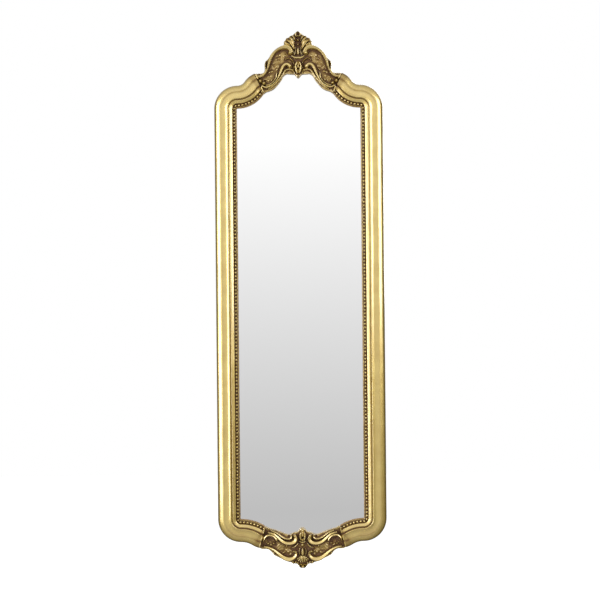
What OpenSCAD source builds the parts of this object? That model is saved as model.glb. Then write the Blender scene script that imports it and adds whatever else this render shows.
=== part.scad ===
// Pier mirror: a tall glass in a shaped, gilded frame with a carved crest and foot.
// X runs across the mirror, its face looks along -Y, Z is up, and the wall is the plane Y = 0.
// The origin lies on the wall, midway between the bars of the two hanging rings.
// Every piece is drawn for the right-hand side (+X), and its left-hand twin is mirrored.

/* [Frame] */
// Width of the frame across its two stiles
frame_w = 408; // [396:1:440]
// Length of the straight stiles
stile_h = 993; // [800:1:1200]
// Height of the stiles' top above the hanging rings
hang_drop = 163; // [120:1:220]
// Turn of the upper rail as it climbs to the crest, in degrees
upper_turn = 55; // [50:1:60]
// Tilt of the upper rail's end beside the crest, in degrees
upper_tilt = 24; // [16:1:30]
// Turn of the lower rail as it drops to the foot, in degrees
lower_turn = 32; // [28:1:38]
// Tilt of the lower rail's end beside the foot, in degrees
lower_tilt = 14; // [10:1:18]
// Radius of the sight edge at its tight corners
sight_r = 2; // [1:0.5:4]

/* [Rail moulding] */
// Width of the outer roll
roll_w = 18; // [15:0.5:21]
// Width of the band inside the roll
band_w = 14; // [12:0.5:16]
// Width of the quirk, the sharp groove
quirk_w = 4; // [3:0.5:5]
// Width of the small inner roll
torus_w = 7; // [6:0.5:9]
// Width of the channel that holds the beads
channel_w = 8; // [7.5:0.1:9]
// Width of the sight lip beside the glass
lip_w = 3; // [2:0.5:4]
// Height of the outer roll above the back of the frame
roll_h = 32; // [28:0.5:36]
// Height of the plain outer side, where the roll starts
side_h = 21; // [16:0.5:24]
// Height of the fold between roll and band
fold_h = 26.5; // [23:0.5:28]
// Height of the band's crown
band_h = 30; // [27:0.5:33]
// Height of the quirk's floor
quirk_h = 22; // [19:0.5:24]
// Height of the small inner roll
torus_h = 25; // [23:0.5:27]
// Height of the bead channel's floor
channel_h = 15; // [13:0.5:17]
// Height of the sight lip
lip_h = 17.5; // [16:0.5:19]

/* [Beads] */
// Diameter of one bead
bead_d = 6.4; // [5.5:0.1:7]
// Distance from bead to bead
bead_pitch = 8.4; // [7.6:0.1:9.5]
// Thickness of the strip that carries the beads
strip_t = 1.6; // [1.2:0.1:2]

/* [Crest and foot] */
// Width of the crest between the inner ends of its two collars, as a share of the frame's width
crest_share = 0.4167; // [0.4:0.0001:0.425]
// Height of the crest's tip above its collars' inner ends
crest_h = 152; // [140:1:166]
// Thickness of the crest's ground
crest_t = 20; // [18:0.5:22]
// Width of the foot between the inner ends of its two collars, as a share of the frame's width
foot_share = 0.451; // [0.44:0.001:0.46]
// Depth of the foot's tip below its collars' inner ends
foot_h = 102; // [94:1:114]
// Thickness of the foot's ground
foot_t = 19; // [18:0.5:22]
// Height of the large scrolls above the ground
scroll_h = 14; // [11:0.5:17]
// Height of the small scrolls and leaves above the ground
leaf_h = 10; // [7:0.5:12]
// Width of the collars that end the rails
collar_w = 5.5; // [4:0.5:7]

/* [Glass and back] */
// Thickness of the mirror glass
glass_t = 4; // [3:0.5:5]
// Thickness of the backing board
board_t = 3; // [2:0.5:4]
// Width of the rebate that holds the glass, from the sight edge
rebate_w = 8; // [7:0.5:9]
// Gap around the edge of the glass
glass_gap = 1; // [0.6:0.1:1.5]
// Thickness of the cork blocks that carry the glass
block_t = 2; // [1.6:0.1:3]
// Length of one cork block
block_l = 30; // [20:1:40]

/* [Joints] */
// Diameter of the dowels
dowel_d = 8; // [6:0.5:9]
// Length of the dowels in the stiles' ends
dowel_l = 44; // [36:1:50]
// Length of the dowels that reach through the returns
long_dowel_l = 60; // [56:1:66]
// Height of the dowels' centres above the back of the frame
dowel_h = 12; // [11.5:0.5:13]

/* [Hanging hardware] */
// Thickness of the rubber bumpers, which is the gap to the wall
bumper_t = 8; // [7:0.5:12]
// Diameter of the rubber bumpers
bumper_d = 18; // [12:1:24]
// Distance of the bumpers from the ends of the stiles
bumper_inset = 22; // [14:1:60]
// Diameter of the ring's wire
wire_d = 3; // [2.6:0.1:3.2]
// Width of the ring between the centres of its two legs
ring_w = 22; // [20:1:26]
// Length of the ring's straight legs above the bend
ring_leg = 7; // [5:0.5:12]
// Radius of the ring's lower bends
ring_bend = 3; // [2.8:0.1:3.4]
// Lean of the stowed ring towards the frame, in degrees
ring_lean = 3; // [1:0.5:3.5]
// Length of the knuckle that holds the ring's bar
knuckle_l = 13; // [10:1:14]
// Thickness of the hanger's strap
strap_t = 1.2; // [1:0.1:1.4]
// Length of the hanger's strap below the bar
strap_l = 42; // [38:1:52]
// Distance of the hangers from the outer side of the stile
hanger_inset = 25; // [22:1:30]
// Shank diameter of the hanger's screws
strap_screw_d = 3.5; // [3:0.5:4]

/* [Turn buttons] */
// Length of one turn button
button_l = 36; // [34:1:42]
// Width of one turn button
button_w = 12; // [10:0.5:14]
// Thickness of one turn button
button_t = 1.6; // [1.2:0.1:2]
// Distance of the pivot from the outer side of the stile
button_inset = 33; // [30:1:34]
// Distance of the end buttons from the ends of the stiles
button_end = 80; // [50:1:120]
// Diameter of the pivot screw's shank
pivot_d = 4; // [3.5:0.5:4.5]

/* [Hidden] */
// Fits and gaps
running_gap = 0.3;
pin_gap = 0.2;
dowel_gap = 0.1;
strip_gap = 0.2;

// The rail is as wide as its members
rail_w = roll_w + band_w + quirk_w + torus_w + channel_w + lip_w;
band_at = roll_w + band_w;
torus_at = band_at + quirk_w;
channel_at = torus_at + torus_w;
lip_at = channel_at + channel_w;
rebate_d = glass_t + board_t;
rebate_at = rail_w - rebate_w;
glass_at = rebate_at + glass_gap;
bead_at = channel_at + channel_w / 2;

// Places on the frame, across from the centre line and up from the origin
outer_x = frame_w / 2;
sight_x = outer_x - rail_w;
top_z = hang_drop;
bottom_z = hang_drop - stile_h;
back_y = -bumper_t;

// The crest and the foot are drawn at these sizes and stretched to the sizes set above
crest_w = frame_w * crest_share;
foot_w = frame_w * foot_share;
crest_drawn = [170, 152];
foot_drawn = [184, 103];
crest_k = [crest_w / crest_drawn[0], crest_h / crest_drawn[1]];
foot_k = [foot_w / foot_drawn[0], foot_h / foot_drawn[1]];

// Radius of each rail's hollow turn at the sight edge, and how far up or down it ends
upper_r = turn_radius(crest_w / 2, upper_turn, upper_tilt);
lower_r = turn_radius(foot_w / 2, lower_turn, lower_tilt);
crest_z = top_z + end_point(upper_r, upper_turn, upper_tilt, rail_w)[1];
foot_z = bottom_z - end_point(lower_r, lower_turn, lower_tilt, rail_w)[1];

// Steps along one round stretch, and along one stretch of a smooth curve
arc_steps = 8;
sweep_steps = 3;

// The dowels' places, in from the outer side of the rail, in the returns and in the stiles
return_dowels = [roll_w * 0.8, torus_at - 2];
stile_dowels_at = [roll_w * 0.9, torus_at - 1];

// The glass and its rebate run on past the rails' ends by this turn, in degrees
glass_past = 5.3;

// Colours
GILT = "#c9b06a";
GROUND = "#6b4a2c";
SILVERING = "#c8d0d4";
BOARD = "#8a6a48";
BEECH = "#c9a878";
CORK = "#b58a5a";
STEEL = "#b9bcc0";
BRASS = "#b8963e";
RUBBER = "#2b2b2b";

// ---- Curves ----

function last(list) = list[len(list) - 1];

function tail(list) = [for (i = [1:len(list) - 1]) list[i]];

function reversed(list) = [for (i = [len(list) - 1:-1:0]) list[i]];

function between(a, b, t) = a + (b - a) * t;

// Points of an elliptical arc about c with radii r, from angle a0 to a1
function arc(c, r, a0, a1, n) = [
    for (i = [0:n]) let (a = between(a0, a1, i / n)) [c[0] + r[0] * cos(a), c[1] + r[1] * sin(a)]
];

// One point of the smooth curve through four neighbours
function spline_point(a, b, c, d, t) =
    0.5 * (2 * b + (c - a) * t + (2 * a - 5 * b + 4 * c - d) * t * t + (3 * b - a - 3 * c + d) * t * t * t);

// A smooth curve through the points p, with n steps from each to the next
function spline(p, n) = let (last = len(p) - 1) [
    for (i = [0:last - 1], k = [0:n - 1])
        spline_point(p[max(i - 1, 0)], p[i], p[i + 1], p[min(i + 2, last)], k / n),
    p[last]
];

// A direction turned a quarter to the left
function square_to(d) = [-d[1], d[0]];

function heading(p, i) = let (d = p[min(i + 1, len(p) - 1)] - p[max(i - 1, 0)]) d / norm(d);

// Length along the points p up to each of them
function run_lengths(p) = [
    for (i = 0, s = 0; i < len(p); i = i + 1, s = s + (i < len(p) ? norm(p[i] - p[i - 1]) : 0)) s
];

// The point at length s along the points p
function point_at(p, runs, s) =
    let (after = [for (i = [1:len(p) - 1]) if (runs[i] >= s) i], k = len(after) > 0 ? after[0] : len(p) - 1)
    between(p[k - 1], p[k], (s - runs[k - 1]) / (runs[k] - runs[k - 1]));

// Points spread evenly along p, about one pitch apart, half a step in from the ends
function spread(p, pitch) =
    let (runs = run_lengths(p), total = runs[len(p) - 1], count = round(total / pitch))
    [for (i = [0:count - 1]) point_at(p, runs, (i + 0.5) * total / count)];

// ---- Solids ----

// A point of the frame: x across, z up, h out from the back of the frame
function out(x, z, h) = [x, back_y - h, z];

// Closed skin over rings of equal length
module skin(rings) {
    n = len(rings[0]);
    last = (len(rings) - 1) * n;
    polyhedron(
        points = [for (ring = rings) each ring],
        faces = [
            [for (j = [0:n - 1]) j],
            [for (j = [n - 1:-1:0]) last + j],
            for (i = [0:len(rings) - 2], j = [0:n - 1]) let (a = i * n + j, b = i * n + (j + 1) % n)
                each [[b, a, a + n], [b, a + n, b + n]]
        ]
    );
}

// Section of a carved strap: share of its width across, share of its rise up
carved_section = [
    [0.5, 0], [0.5, 0.4], [0.36, 0.8], [0.14, 1], [-0.14, 1], [-0.36, 0.8], [-0.5, 0.4], [-0.5, 0]
];

// A carved strap along the points path, widths wide, from height h0 to h0 + rise
module carved(path, widths, h0, rise) {
    line = spline(path, sweep_steps);
    widths_along = spline(widths, sweep_steps);
    skin([
        for (i = [0:len(line) - 1])
            let (p = line[i], across = square_to(heading(line, i)) * widths_along[i])
                [for (s = carved_section) let (q = p + across * s[0]) out(q[0], q[1], h0 + rise * s[1])]
    ]);
}

// A round boss at p with radius r, rising to rise above h0
module boss(p, r, h0, rise) {
    translate(out(p[0], p[1], h0))
        rotate([90, 0, 0])
            rotate_extrude($fn = 40)
                polygon(concat([[0, 0]], arc([0, 0], [r, rise], 0, 90, 6)));
}

// The section, a list of distance from the centre and height, turned about c from one angle by another
module turned(c, from, turn, section) {
    translate([c[0], back_y, c[1]])
        rotate([90, 0, 0])
            rotate_extrude(angle = turn, start = from, $fn = 72)
                polygon(section);
}

// A plate with the outline p, from height h0 to h1 above the back of the frame
module plate(p, h0, h1) {
    translate([0, back_y - h0, 0])
        rotate([90, 0, 0])
            linear_extrude(h1 - h0)
                polygon(p);
}

// A cylinder along Y at the point p, from height h0 to h1 above the back of the frame
module peg(p, d, h0, h1) {
    translate(out(p[0], p[1], h0))
        rotate([90, 0, 0])
            cylinder(d = d, h = h1 - h0, $fn = 32);
}

module left() {
    mirror([1, 0, 0]) children();
}

// ---- Rails ----

// The rail's section: distance in from the outer side, height above the back
function rail_section() = concat(
    [[0, 0]],
    arc([roll_w * 0.53, side_h], [roll_w * 0.53, roll_h - side_h], 180, 30, 8),
    [[roll_w, fold_h]],
    arc([roll_w, band_h - 1], [band_w * 0.62, band_h - fold_h - 1], -80, -10, 3),
    arc([band_at - band_w * 0.2, band_h - 2], [band_w * 0.2, 2], 110, 0, 3),
    [[band_at + 0.6, quirk_h], [torus_at - 0.6, quirk_h]],
    arc([torus_at + torus_w / 2, quirk_h + 0.4], [torus_w / 2, torus_h - quirk_h - 0.4], 180, 0, 5),
    [[channel_at, channel_h], [lip_at, channel_h], [lip_at, lip_h - 0.8], [lip_at + lip_w * 0.4, lip_h]],
    [[rail_w, lip_h - 1.6], [rail_w, rebate_d], [rebate_at, rebate_d], [rebate_at, 0]]
);

function crest_point(p) = [p[0] * crest_k[0], crest_z + p[1] * crest_k[1]];

function foot_point(p) = [p[0] * foot_k[0], foot_z + p[1] * foot_k[1]];

function crest_points(list) = [for (p = list) crest_point(p)];

function foot_points(list) = [for (p = list) foot_point(p)];

// A bent rail starts at the top of a stile, turns round the corner, climbs in a hollow turn whose
// sight edge has radius r, and then leans over a tight bend, to end at the given tilt.
// It is drawn from the stile's end up; the lower rail is the same shape upside down.
function corner_centre() = [sight_x - sight_r, 0];

function turn_centre(r) = corner_centre() + [0, sight_r + r];

function lean_centre(r, turn) = turn_centre(r) - (r + sight_r) * [sin(turn), cos(turn)];

function end_point(r, turn, tilt, inset) =
    lean_centre(r, turn) + (sight_r + rail_w - inset) * [sin(tilt), cos(tilt)];

// The radius that brings the end to end_x, rounded to a hundredth of a millimetre
function turn_radius(end_x, turn, tilt) =
    round(100 * (sight_x - sight_r - end_x - sight_r * (sin(turn) - sin(tilt))) / sin(turn)) / 100;

// The line along a bent rail at the distance inset from its outer side
function bent_line(r, turn, tilt, inset) = let (in = rail_w - inset, tight = sight_r + in) concat(
    arc(corner_centre(), [tight, tight], 0, 90, arc_steps),
    tail(arc(turn_centre(r), [r - in, r - in], -90, -90 - turn, arc_steps)),
    tail(arc(lean_centre(r, turn), [tight, tight], 90 - turn, 90 - tilt, arc_steps / 2))
);

// The section, counted from the centre of a tight bend outwards
function tight_section(section) = [for (s = section) [sight_r + rail_w - s[0], s[1]]];

// Corner and hollow turn of a bent rail
module bent_rail(r, turn, section) {
    turned(corner_centre(), 0, 90, tight_section(section));
    turned(turn_centre(r), -90 - turn, turn, [for (s = section) [r - rail_w + s[0], s[1]]]);
}

// The wedge that leans over from the hollow turn to the crest or the foot
module rail_return(r, turn, tilt, section) {
    turned(lean_centre(r, turn), 90 - turn, turn - tilt, tight_section(section));
}

// Things drawn from the stile's end up go to the top of the frame or, upside down, to its bottom
module at_top() {
    translate([0, 0, top_z]) children();
}

module at_bottom() {
    translate([0, 0, bottom_z]) mirror([0, 0, 1]) children();
}

// Lines along the upper and lower rails, which may run on past the rail's end
function top_line(inset, past = 0) =
    [for (p = bent_line(upper_r, upper_turn, upper_tilt - past, inset)) [p[0], top_z + p[1]]];

function bottom_line(inset, past = 0) =
    [for (p = bent_line(lower_r, lower_turn, lower_tilt - past, inset)) [p[0], bottom_z - p[1]]];

// Dowels across a bent rail's end, half their length on each side
module rail_end_dowels(r, turn, tilt, d, l) {
    for (inset = return_dowels) {
        p = end_point(r, turn, tilt, inset);
        translate(out(p[0], p[1], dowel_h))
            rotate([0, tilt + 90, 0])
                cylinder(d = d, h = l, center = true, $fn = 32);
    }
}

module crest_end_dowels(d, l) {
    at_top() rail_end_dowels(upper_r, upper_turn, upper_tilt, d, l);
}

module foot_end_dowels(d, l) {
    at_bottom() rail_end_dowels(lower_r, lower_turn, lower_tilt, d, l);
}

// Cylinders across the end of a stile at height z
module stile_end_dowels(z, d, l) {
    for (inset = stile_dowels_at)
        translate(out(outer_x - inset, z, dowel_h))
            cylinder(d = d, h = l, center = true, $fn = 32);
}

function button_heights() = [top_z - button_end, (top_z + bottom_z) / 2, bottom_z + button_end];

module stile() {
    color(GILT)
    difference() {
        translate([outer_x, back_y, bottom_z])
            linear_extrude(stile_h)
                polygon([for (s = rail_section()) [-s[0], -s[1]]]);
        stile_end_sockets(top_z);
        stile_end_sockets(bottom_z);
        for (z = button_heights())
            peg([button_x, z], pivot_d, -1, pivot_l);
        for (z = strap_screw_heights())
            peg([hanger_x, z], strap_screw_d, -1, strap_screw_l);
    }
}

module stile_end_sockets(z) {
    stile_end_dowels(z, dowel_d + dowel_gap, dowel_l + 1);
}

module crest_sockets() {
    crest_end_dowels(dowel_d + dowel_gap, long_dowel_l + 1);
}

module foot_sockets() {
    foot_end_dowels(dowel_d + dowel_gap, long_dowel_l + 1);
}

module shoulder() {
    color(GILT)
    difference() {
        at_top() bent_rail(upper_r, upper_turn, rail_section());
        stile_end_sockets(top_z);
        crest_sockets();
    }
}

module lower_shoulder() {
    color(GILT)
    difference() {
        at_bottom() bent_rail(lower_r, lower_turn, rail_section());
        stile_end_sockets(bottom_z);
        foot_sockets();
    }
}

module crest_return() {
    color(GILT)
    difference() {
        at_top() rail_return(upper_r, upper_turn, upper_tilt, rail_section());
        crest_sockets();
    }
}

module foot_return() {
    color(GILT)
    difference() {
        at_bottom() rail_return(lower_r, lower_turn, lower_tilt, rail_section());
        foot_sockets();
    }
}

module stile_dowels() {
    color(BEECH)
    for (side = [0, 1], z = [top_z, bottom_z])
        mirror([side, 0, 0])
            stile_end_dowels(z, dowel_d, dowel_l);
}

module crest_dowels() {
    color(BEECH)
    for (side = [0, 1])
        mirror([side, 0, 0])
            crest_end_dowels(dowel_d, long_dowel_l);
}

module foot_dowels() {
    color(BEECH)
    for (side = [0, 1])
        mirror([side, 0, 0])
            foot_end_dowels(dowel_d, long_dowel_l);
}

// ---- Beads ----

function strip_section() = [
    [channel_at + strip_gap, channel_h], [channel_at + strip_gap, channel_h + strip_t],
    [lip_at - strip_gap, channel_h + strip_t], [lip_at - strip_gap, channel_h]
];

// Beads that stand a little out of their strip
module beads(line) {
    for (p = spread(line, bead_pitch))
        translate(out(p[0], p[1], channel_h + strip_t + bead_d * 0.3))
            sphere(d = bead_d, $fn = 24);
}

module bead_strip() {
    x = outer_x - bead_at;
    w = channel_w - 2 * strip_gap;
    color(GILT)
    union() {
        translate(out(x - w / 2, bottom_z, channel_h + strip_t))
            cube([w, strip_t, stile_h]);
        beads([[x, bottom_z], [x, top_z]]);
    }
}

module upper_bead_strip() {
    color(GILT)
    union() {
        at_top() {
            bent_rail(upper_r, upper_turn, strip_section());
            rail_return(upper_r, upper_turn, upper_tilt, strip_section());
        }
        beads(top_line(bead_at));
    }
}

module lower_bead_strip() {
    color(GILT)
    union() {
        at_bottom() {
            bent_rail(lower_r, lower_turn, strip_section());
            rail_return(lower_r, lower_turn, lower_tilt, strip_section());
        }
        beads(bottom_line(bead_at));
    }
}

// ---- Glass and back ----

// Outline of the glass on the right-hand side, from the crest down to the foot.
// The crest and the foot hide its ends; spare is 0 for the glass and glass_gap for its rebate.
function glass_half(spare) = concat(
    crest_points([[30, 57], [40, 51], [50, 35], [60, 22], [74, 14]]) + [for (i = [0:4]) [spare, spare]],
    reversed(top_line(glass_at - spare, glass_past)),
    bottom_line(glass_at - spare, glass_past),
    foot_points([[70, -19], [52, -26]]) + [for (i = [0:1]) [spare, spare > 0 ? -block_t : 0]]
);

function glass_outline(spare) = let (half = glass_half(spare))
    concat(half, [for (p = reversed(half)) [-p[0], p[1]]]);

module mirror_glass() {
    color(SILVERING)
        plate(glass_outline(0), board_t, rebate_d);
}

module backing_board() {
    color(BOARD)
        plate(glass_outline(0), 0, board_t);
}

module glass_blocks() {
    z = last(foot_points([[52, -26]]))[1];
    color(CORK)
    for (side = [-1, 1])
        translate([side * foot_w / 8 - block_l / 2, back_y - rebate_d, z - block_t])
            cube([block_l, glass_t, block_t]);
}

// ---- Crest ----

// Right half of the crest's ground: outer edge up to the tip, then inner edge from its tip out
crest_outer = [
    [86, 50.5], [82, 53], [80.5, 62], [81, 72], [78, 81], [72, 86], [67, 94], [60, 103],
    [51, 110.5], [42, 115.5], [34, 119], [33, 128], [28, 135], [20, 138.5], [13, 142], [7, 147], [0, 152]
];
crest_inner = [
    [0, 38.5], [5, 42], [10, 48], [28, 48.5], [35, 44], [40, 35], [46, 27],
    [54, 17.5], [62, 11], [70, 7.5], [77, 6.5]
];

// Right half of the foot's ground: inner edge from its tip out, then outer edge down to the tip
foot_inner = [
    [0, -4], [5, -6], [9, -11], [15, -14], [22, -17], [31, -20], [40, -19.5],
    [50, -16.5], [60, -13], [70, -10.5], [80, -7]
];
foot_outer = [
    [98, -55.5], [88, -55.5], [80, -58], [73, -65], [68, -71], [60, -75], [48, -81], [38, -86],
    [28, -89.5], [16, -92.5], [9, -98], [0, -103]
];

// Closed outline from its right half, whose ends lie on the centre line
function whole_outline(half) = concat(half, [for (i = [len(half) - 2:-1:1]) [-half[i][0], half[i][1]]]);

module crest_block() {
    half = concat(
        crest_points(spline(crest_inner, 2)),
        reversed([last(top_line(0)), last(top_line(rail_w))]),
        crest_points(spline(crest_outer, 2))
    );
    color(GROUND)
    difference() {
        plate(whole_outline(half), 0, crest_t);
        plate(glass_outline(glass_gap), -1, rebate_d);
        for (side = [0, 1])
            mirror([side, 0, 0])
                crest_sockets();
    }
}

module foot_block() {
    half = concat(
        foot_points(spline(foot_inner, 2)),
        reversed([last(bottom_line(0)), last(bottom_line(rail_w))]),
        foot_points(spline(foot_outer, 2))
    );
    color(GROUND)
    difference() {
        plate(whole_outline(half), 0, foot_t);
        plate(glass_outline(glass_gap), -1, rebate_d);
        for (side = [0, 1])
            mirror([side, 0, 0])
                foot_sockets();
    }
}

module crest_carved(path, widths, rise) {
    carved(crest_points(path), widths * crest_k[0], crest_t, rise);
}

module crest_boss(p, r, rise) {
    boss(crest_point(p), r * crest_k[0], crest_t, rise);
}

module foot_carved(path, widths, rise) {
    carved(foot_points(path), widths * foot_k[0], foot_t, rise);
}

module foot_boss(p, r, rise) {
    boss(foot_point(p), r * foot_k[0], foot_t, rise);
}

// The large scroll that climbs from the collar and curls in beside the drop
module crest_scroll() {
    color(GILT)
    union() {
        crest_carved(
            [[86, 43], [80, 48], [76.5, 56], [74, 66], [71.5, 76], [68, 86], [62.5, 96], [54.5, 104.5],
             [45, 109.5], [35, 111.5], [26, 109.5], [20.5, 103.5], [21, 97]],
            [5, 6.5, 7.5, 8, 8.5, 9, 10, 11, 12, 12, 11, 9, 7],
            scroll_h
        );
        crest_boss([23.5, 96], 5.5, scroll_h - 1);
    }
}

// The smaller scroll that frames the glass, with its lip strand, spur and balls
module crest_inner_scroll() {
    color(GILT)
    union() {
        crest_carved(
            [[20, 67], [25, 71], [32, 70], [38, 64], [41.5, 55], [45, 46], [50.5, 38.5], [56, 31],
             [62.5, 24], [70, 19.5], [77, 18.5], [83, 21.5]],
            [6, 7, 7, 6.5, 6.5, 6.5, 6, 5.5, 6, 7, 7, 6],
            scroll_h - 2
        );
        crest_boss([20, 66.5], 5.5, scroll_h - 2);
        crest_boss([84, 25.5], 5, scroll_h - 3);
    }
}

// Leaves and the thin lip that fill the ground between the scrolls
module crest_leaf() {
    color(GILT)
    union() {
        crest_carved(
            [[46.4, 36], [50, 29], [55, 22.5], [61, 17], [68.5, 13.5]],
            [2.6, 4, 4, 4, 3],
            leaf_h - 2
        );
        crest_carved([[10, 78], [16, 84.5], [23, 86], [30, 82.5], [35, 77]], [2, 3.5, 4, 3.5, 2], leaf_h - 3);
        crest_carved([[38, 49.5], [34, 54.5], [27, 58.5], [18, 58.5]], [2, 3, 3.5, 2.5], leaf_h - 4);
        crest_carved([[57, 52], [54, 47], [52.5, 43]], [2, 4, 3], leaf_h - 3);
        crest_boss([14, 55.5], 2.6, leaf_h - 3);
    }
}

// Palmette at the top: three lobes on each side of the beads
module crest_shell() {
    color(GILT)
    for (side = [0, 1])
        mirror([side, 0, 0])
            union() {
                crest_carved([[6.2, 116], [6.6, 128], [6, 138], [3.4, 147]], [2, 4, 5, 3], leaf_h - 2);
                crest_carved([[8, 110], [12.5, 120], [15.5, 130], [15.5, 138]], [2, 5, 6.5, 3], leaf_h - 1);
                crest_carved([[11, 107], [18.5, 115], [24, 123.5], [27, 132]], [2, 6, 8, 4], leaf_h);
            }
}

module crest_bead_drop() {
    color(GILT)
    union() {
        for (v = [118.5, 129, 139])
            crest_boss([0, v], 2.9, leaf_h);
        crest_carved([[0, 110], [0, 106], [0, 100], [0, 94], [0, 91]], [2, 5, 5.4, 4, 2], leaf_h);
    }
}

// Bellflower that hangs at the middle of the crest, with a bead at its tip
module crest_pendant() {
    color(GILT)
    union() {
        for (side = [0, 1])
            mirror([side, 0, 0])
                crest_carved(
                    [[2.2, 75], [4.6, 70], [4.8, 63], [3, 55.5], [1.6, 51]],
                    [2.5, 4.5, 5, 4.5, 2.5],
                    leaf_h + 1
                );
        crest_carved([[0, 74], [0, 66], [0, 58], [0, 51]], [5, 7, 7, 4], leaf_h);
        crest_boss([0, 45.5], 2.7, leaf_h - 2);
    }
}

// Half-round collar where a bent rail meets the crest or the foot, whose ground is h0 thick
module collar(r, turn, tilt, h0) {
    foot = end_point(r, turn, tilt, rail_w);
    translate(out(foot[0], foot[1], h0))
        rotate([0, tilt, 0])
            translate([-collar_w, 0, 0])
                linear_extrude(rail_w)
                    polygon(concat(
                        [[collar_w, 0], [0, 0]],
                        arc([collar_w / 2, -leaf_h * 0.6], [collar_w / 2, leaf_h * 0.4], 180, 360, 6)
                    ));
}

module crest_collar() {
    color(GILT)
        at_top() collar(upper_r, upper_turn, upper_tilt, crest_t);
}

module foot_collar() {
    color(GILT)
        at_bottom() collar(lower_r, lower_turn, lower_tilt, foot_t);
}

// ---- Foot ----

// The large upper scroll of the foot
module foot_scroll() {
    color(GILT)
    union() {
        foot_carved(
            [[17.5, -26], [17.5, -32], [22, -38.5], [30, -41.5], [38, -41],
             [46, -37.5], [54, -31.5], [61, -25.5], [68, -20.5], [75, -17.5]],
            [6, 8, 9, 8.5, 8, 8, 7.5, 6.5, 5, 3.5],
            scroll_h
        );
        foot_boss([17.5, -26], 4.6, scroll_h);
    }
}

// The thin scroll above it, which edges the glass, and the arch round the pit beside the collar
module foot_thin_scroll() {
    color(GILT)
    union() {
        foot_carved(
            [[28, -24], [26.5, -28], [30, -31.5], [37, -32.5], [44, -30],
             [52, -24], [61, -17.5], [71, -13.5], [80, -10.5]],
            [3.5, 4, 4.5, 4.5, 4, 4, 4, 3.5, 3],
            scroll_h - 3
        );
        foot_carved(
            [[68, -37], [71, -29.5], [77, -25], [84, -24], [89.5, -28], [92.4, -35]],
            [3, 4, 4.5, 4.5, 4, 3],
            leaf_h - 1
        );
    }
}

// The long lower scroll of the foot, with the small leaf between the scrolls
module foot_lower_scroll() {
    color(GILT)
    union() {
        foot_carved(
            [[20.5, -61.5], [17.5, -65], [18, -72], [22, -78], [29, -81.5], [37, -81.5],
             [45, -78.5], [53, -73], [62, -66], [69, -58.5], [77, -52], [87, -47]],
            [5, 6, 7, 7.5, 8, 8, 7.5, 7, 6, 5.5, 5, 4],
            scroll_h - 1
        );
        foot_boss([21, -61.5], 3.6, scroll_h - 1);
        foot_carved([[10, -44], [13.5, -48.5], [19, -52.5]], [2, 3.5, 2], leaf_h - 3);
    }
}

// Bud and husk at the top of the foot
module foot_bud() {
    color(GILT)
    union() {
        foot_boss([0, -10], 5.2, leaf_h);
        for (side = [0, 1])
            mirror([side, 0, 0])
                foot_carved([[3.5, -15], [4.8, -20], [4, -28], [2.2, -36]], [3, 5, 4.5, 2.5], leaf_h + 1);
        foot_carved([[0, -14], [0, -20], [0, -30], [0, -38]], [6, 8, 6, 4], leaf_h - 2);
    }
}

// Teardrop at the middle of the foot
module foot_drop() {
    color(GILT)
        foot_carved([[0, -53], [0, -58], [0, -64], [0, -69], [0, -72]], [3, 6, 8, 7, 3], leaf_h);
}

// Ribbed fan and trefoil at the bottom of the foot
module foot_finial() {
    color(GILT)
    union() {
        for (a = [-44:22:44])
            foot_carved([for (r = [3, 9, 15]) [0, -74] + r * [sin(a), -cos(a)]], [1.4, 3, 3.2], leaf_h - 3);
        for (p = [[-5.6, -94.5], [5.6, -94.5], [0, -98.5]])
            foot_boss(p, 4.4, leaf_h);
    }
}

// ---- Hanging hardware ----

hanger_x = outer_x - hanger_inset;
button_x = outer_x - button_inset;
pivot_l = 14;
strap_screw_l = 12;
// The upper screw stands this far below the bar, and the lower one this far above the strap's end
strap_screw_down = 12;
strap_screw_up = 8;
knuckle_r = wire_d / 2 + pin_gap + strap_t;
// The bar's centre lies this far behind the back of the frame
bar_out = knuckle_r + running_gap / 2;
screw_head_h = 1.6;

function strap_screw_heights() = [-strap_screw_down, strap_screw_up - strap_l];

// Folded strap with the knuckle that holds the ring's bar
module hanger_strap() {
    color(STEEL)
    difference() {
        union() {
            translate([hanger_x - knuckle_l / 2, back_y, -strap_l])
                cube([knuckle_l, strap_t, strap_l]);
            translate([hanger_x - knuckle_l / 2, back_y + bar_out, 0])
                rotate([0, 90, 0])
                    cylinder(r = knuckle_r, h = knuckle_l, $fn = 48);
        }
        translate([hanger_x - knuckle_l / 2 - 1, back_y + bar_out, 0])
            rotate([0, 90, 0])
                cylinder(d = wire_d + 2 * pin_gap, h = knuckle_l + 2, $fn = 48);
        for (z = strap_screw_heights())
            peg([hanger_x, z], strap_screw_d + 2 * pin_gap, -strap_t - 1, 1);
    }
}

module bend(centre, radius, from, turn) {
    translate([centre[0], 0, centre[1]])
        rotate([90, 0, 0])
            rotate_extrude(angle = turn, start = from, $fn = 48)
                translate([radius, 0])
                    circle(d = wire_d, $fn = 32);
}

// D-shaped ring: a straight bar, two bends, two legs and a half round top
module hanger_ring() {
    half = ring_w / 2;
    leg_top = ring_bend + ring_leg;
    color(STEEL)
    translate([hanger_x, back_y + bar_out, 0])
        rotate([ring_lean, 0, 0])
            union() {
                translate([-half + ring_bend, 0, 0])
                    rotate([0, 90, 0])
                        cylinder(d = wire_d, h = ring_w - 2 * ring_bend, $fn = 32);
                bend([half - ring_bend, ring_bend], ring_bend, -90, 90);
                bend([-half + ring_bend, ring_bend], ring_bend, 180, 90);
                for (x = [-half, half])
                    translate([x, 0, ring_bend])
                        cylinder(d = wire_d, h = ring_leg, $fn = 32);
                bend([0, leg_top], half, 0, 180);
            }
}

// Screw from the back: head, then shank into the wood
module back_screw(p, d, head_d, under, l) {
    peg(p, head_d, -under - screw_head_h, -under);
    peg(p, d, -under, l);
}

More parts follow.
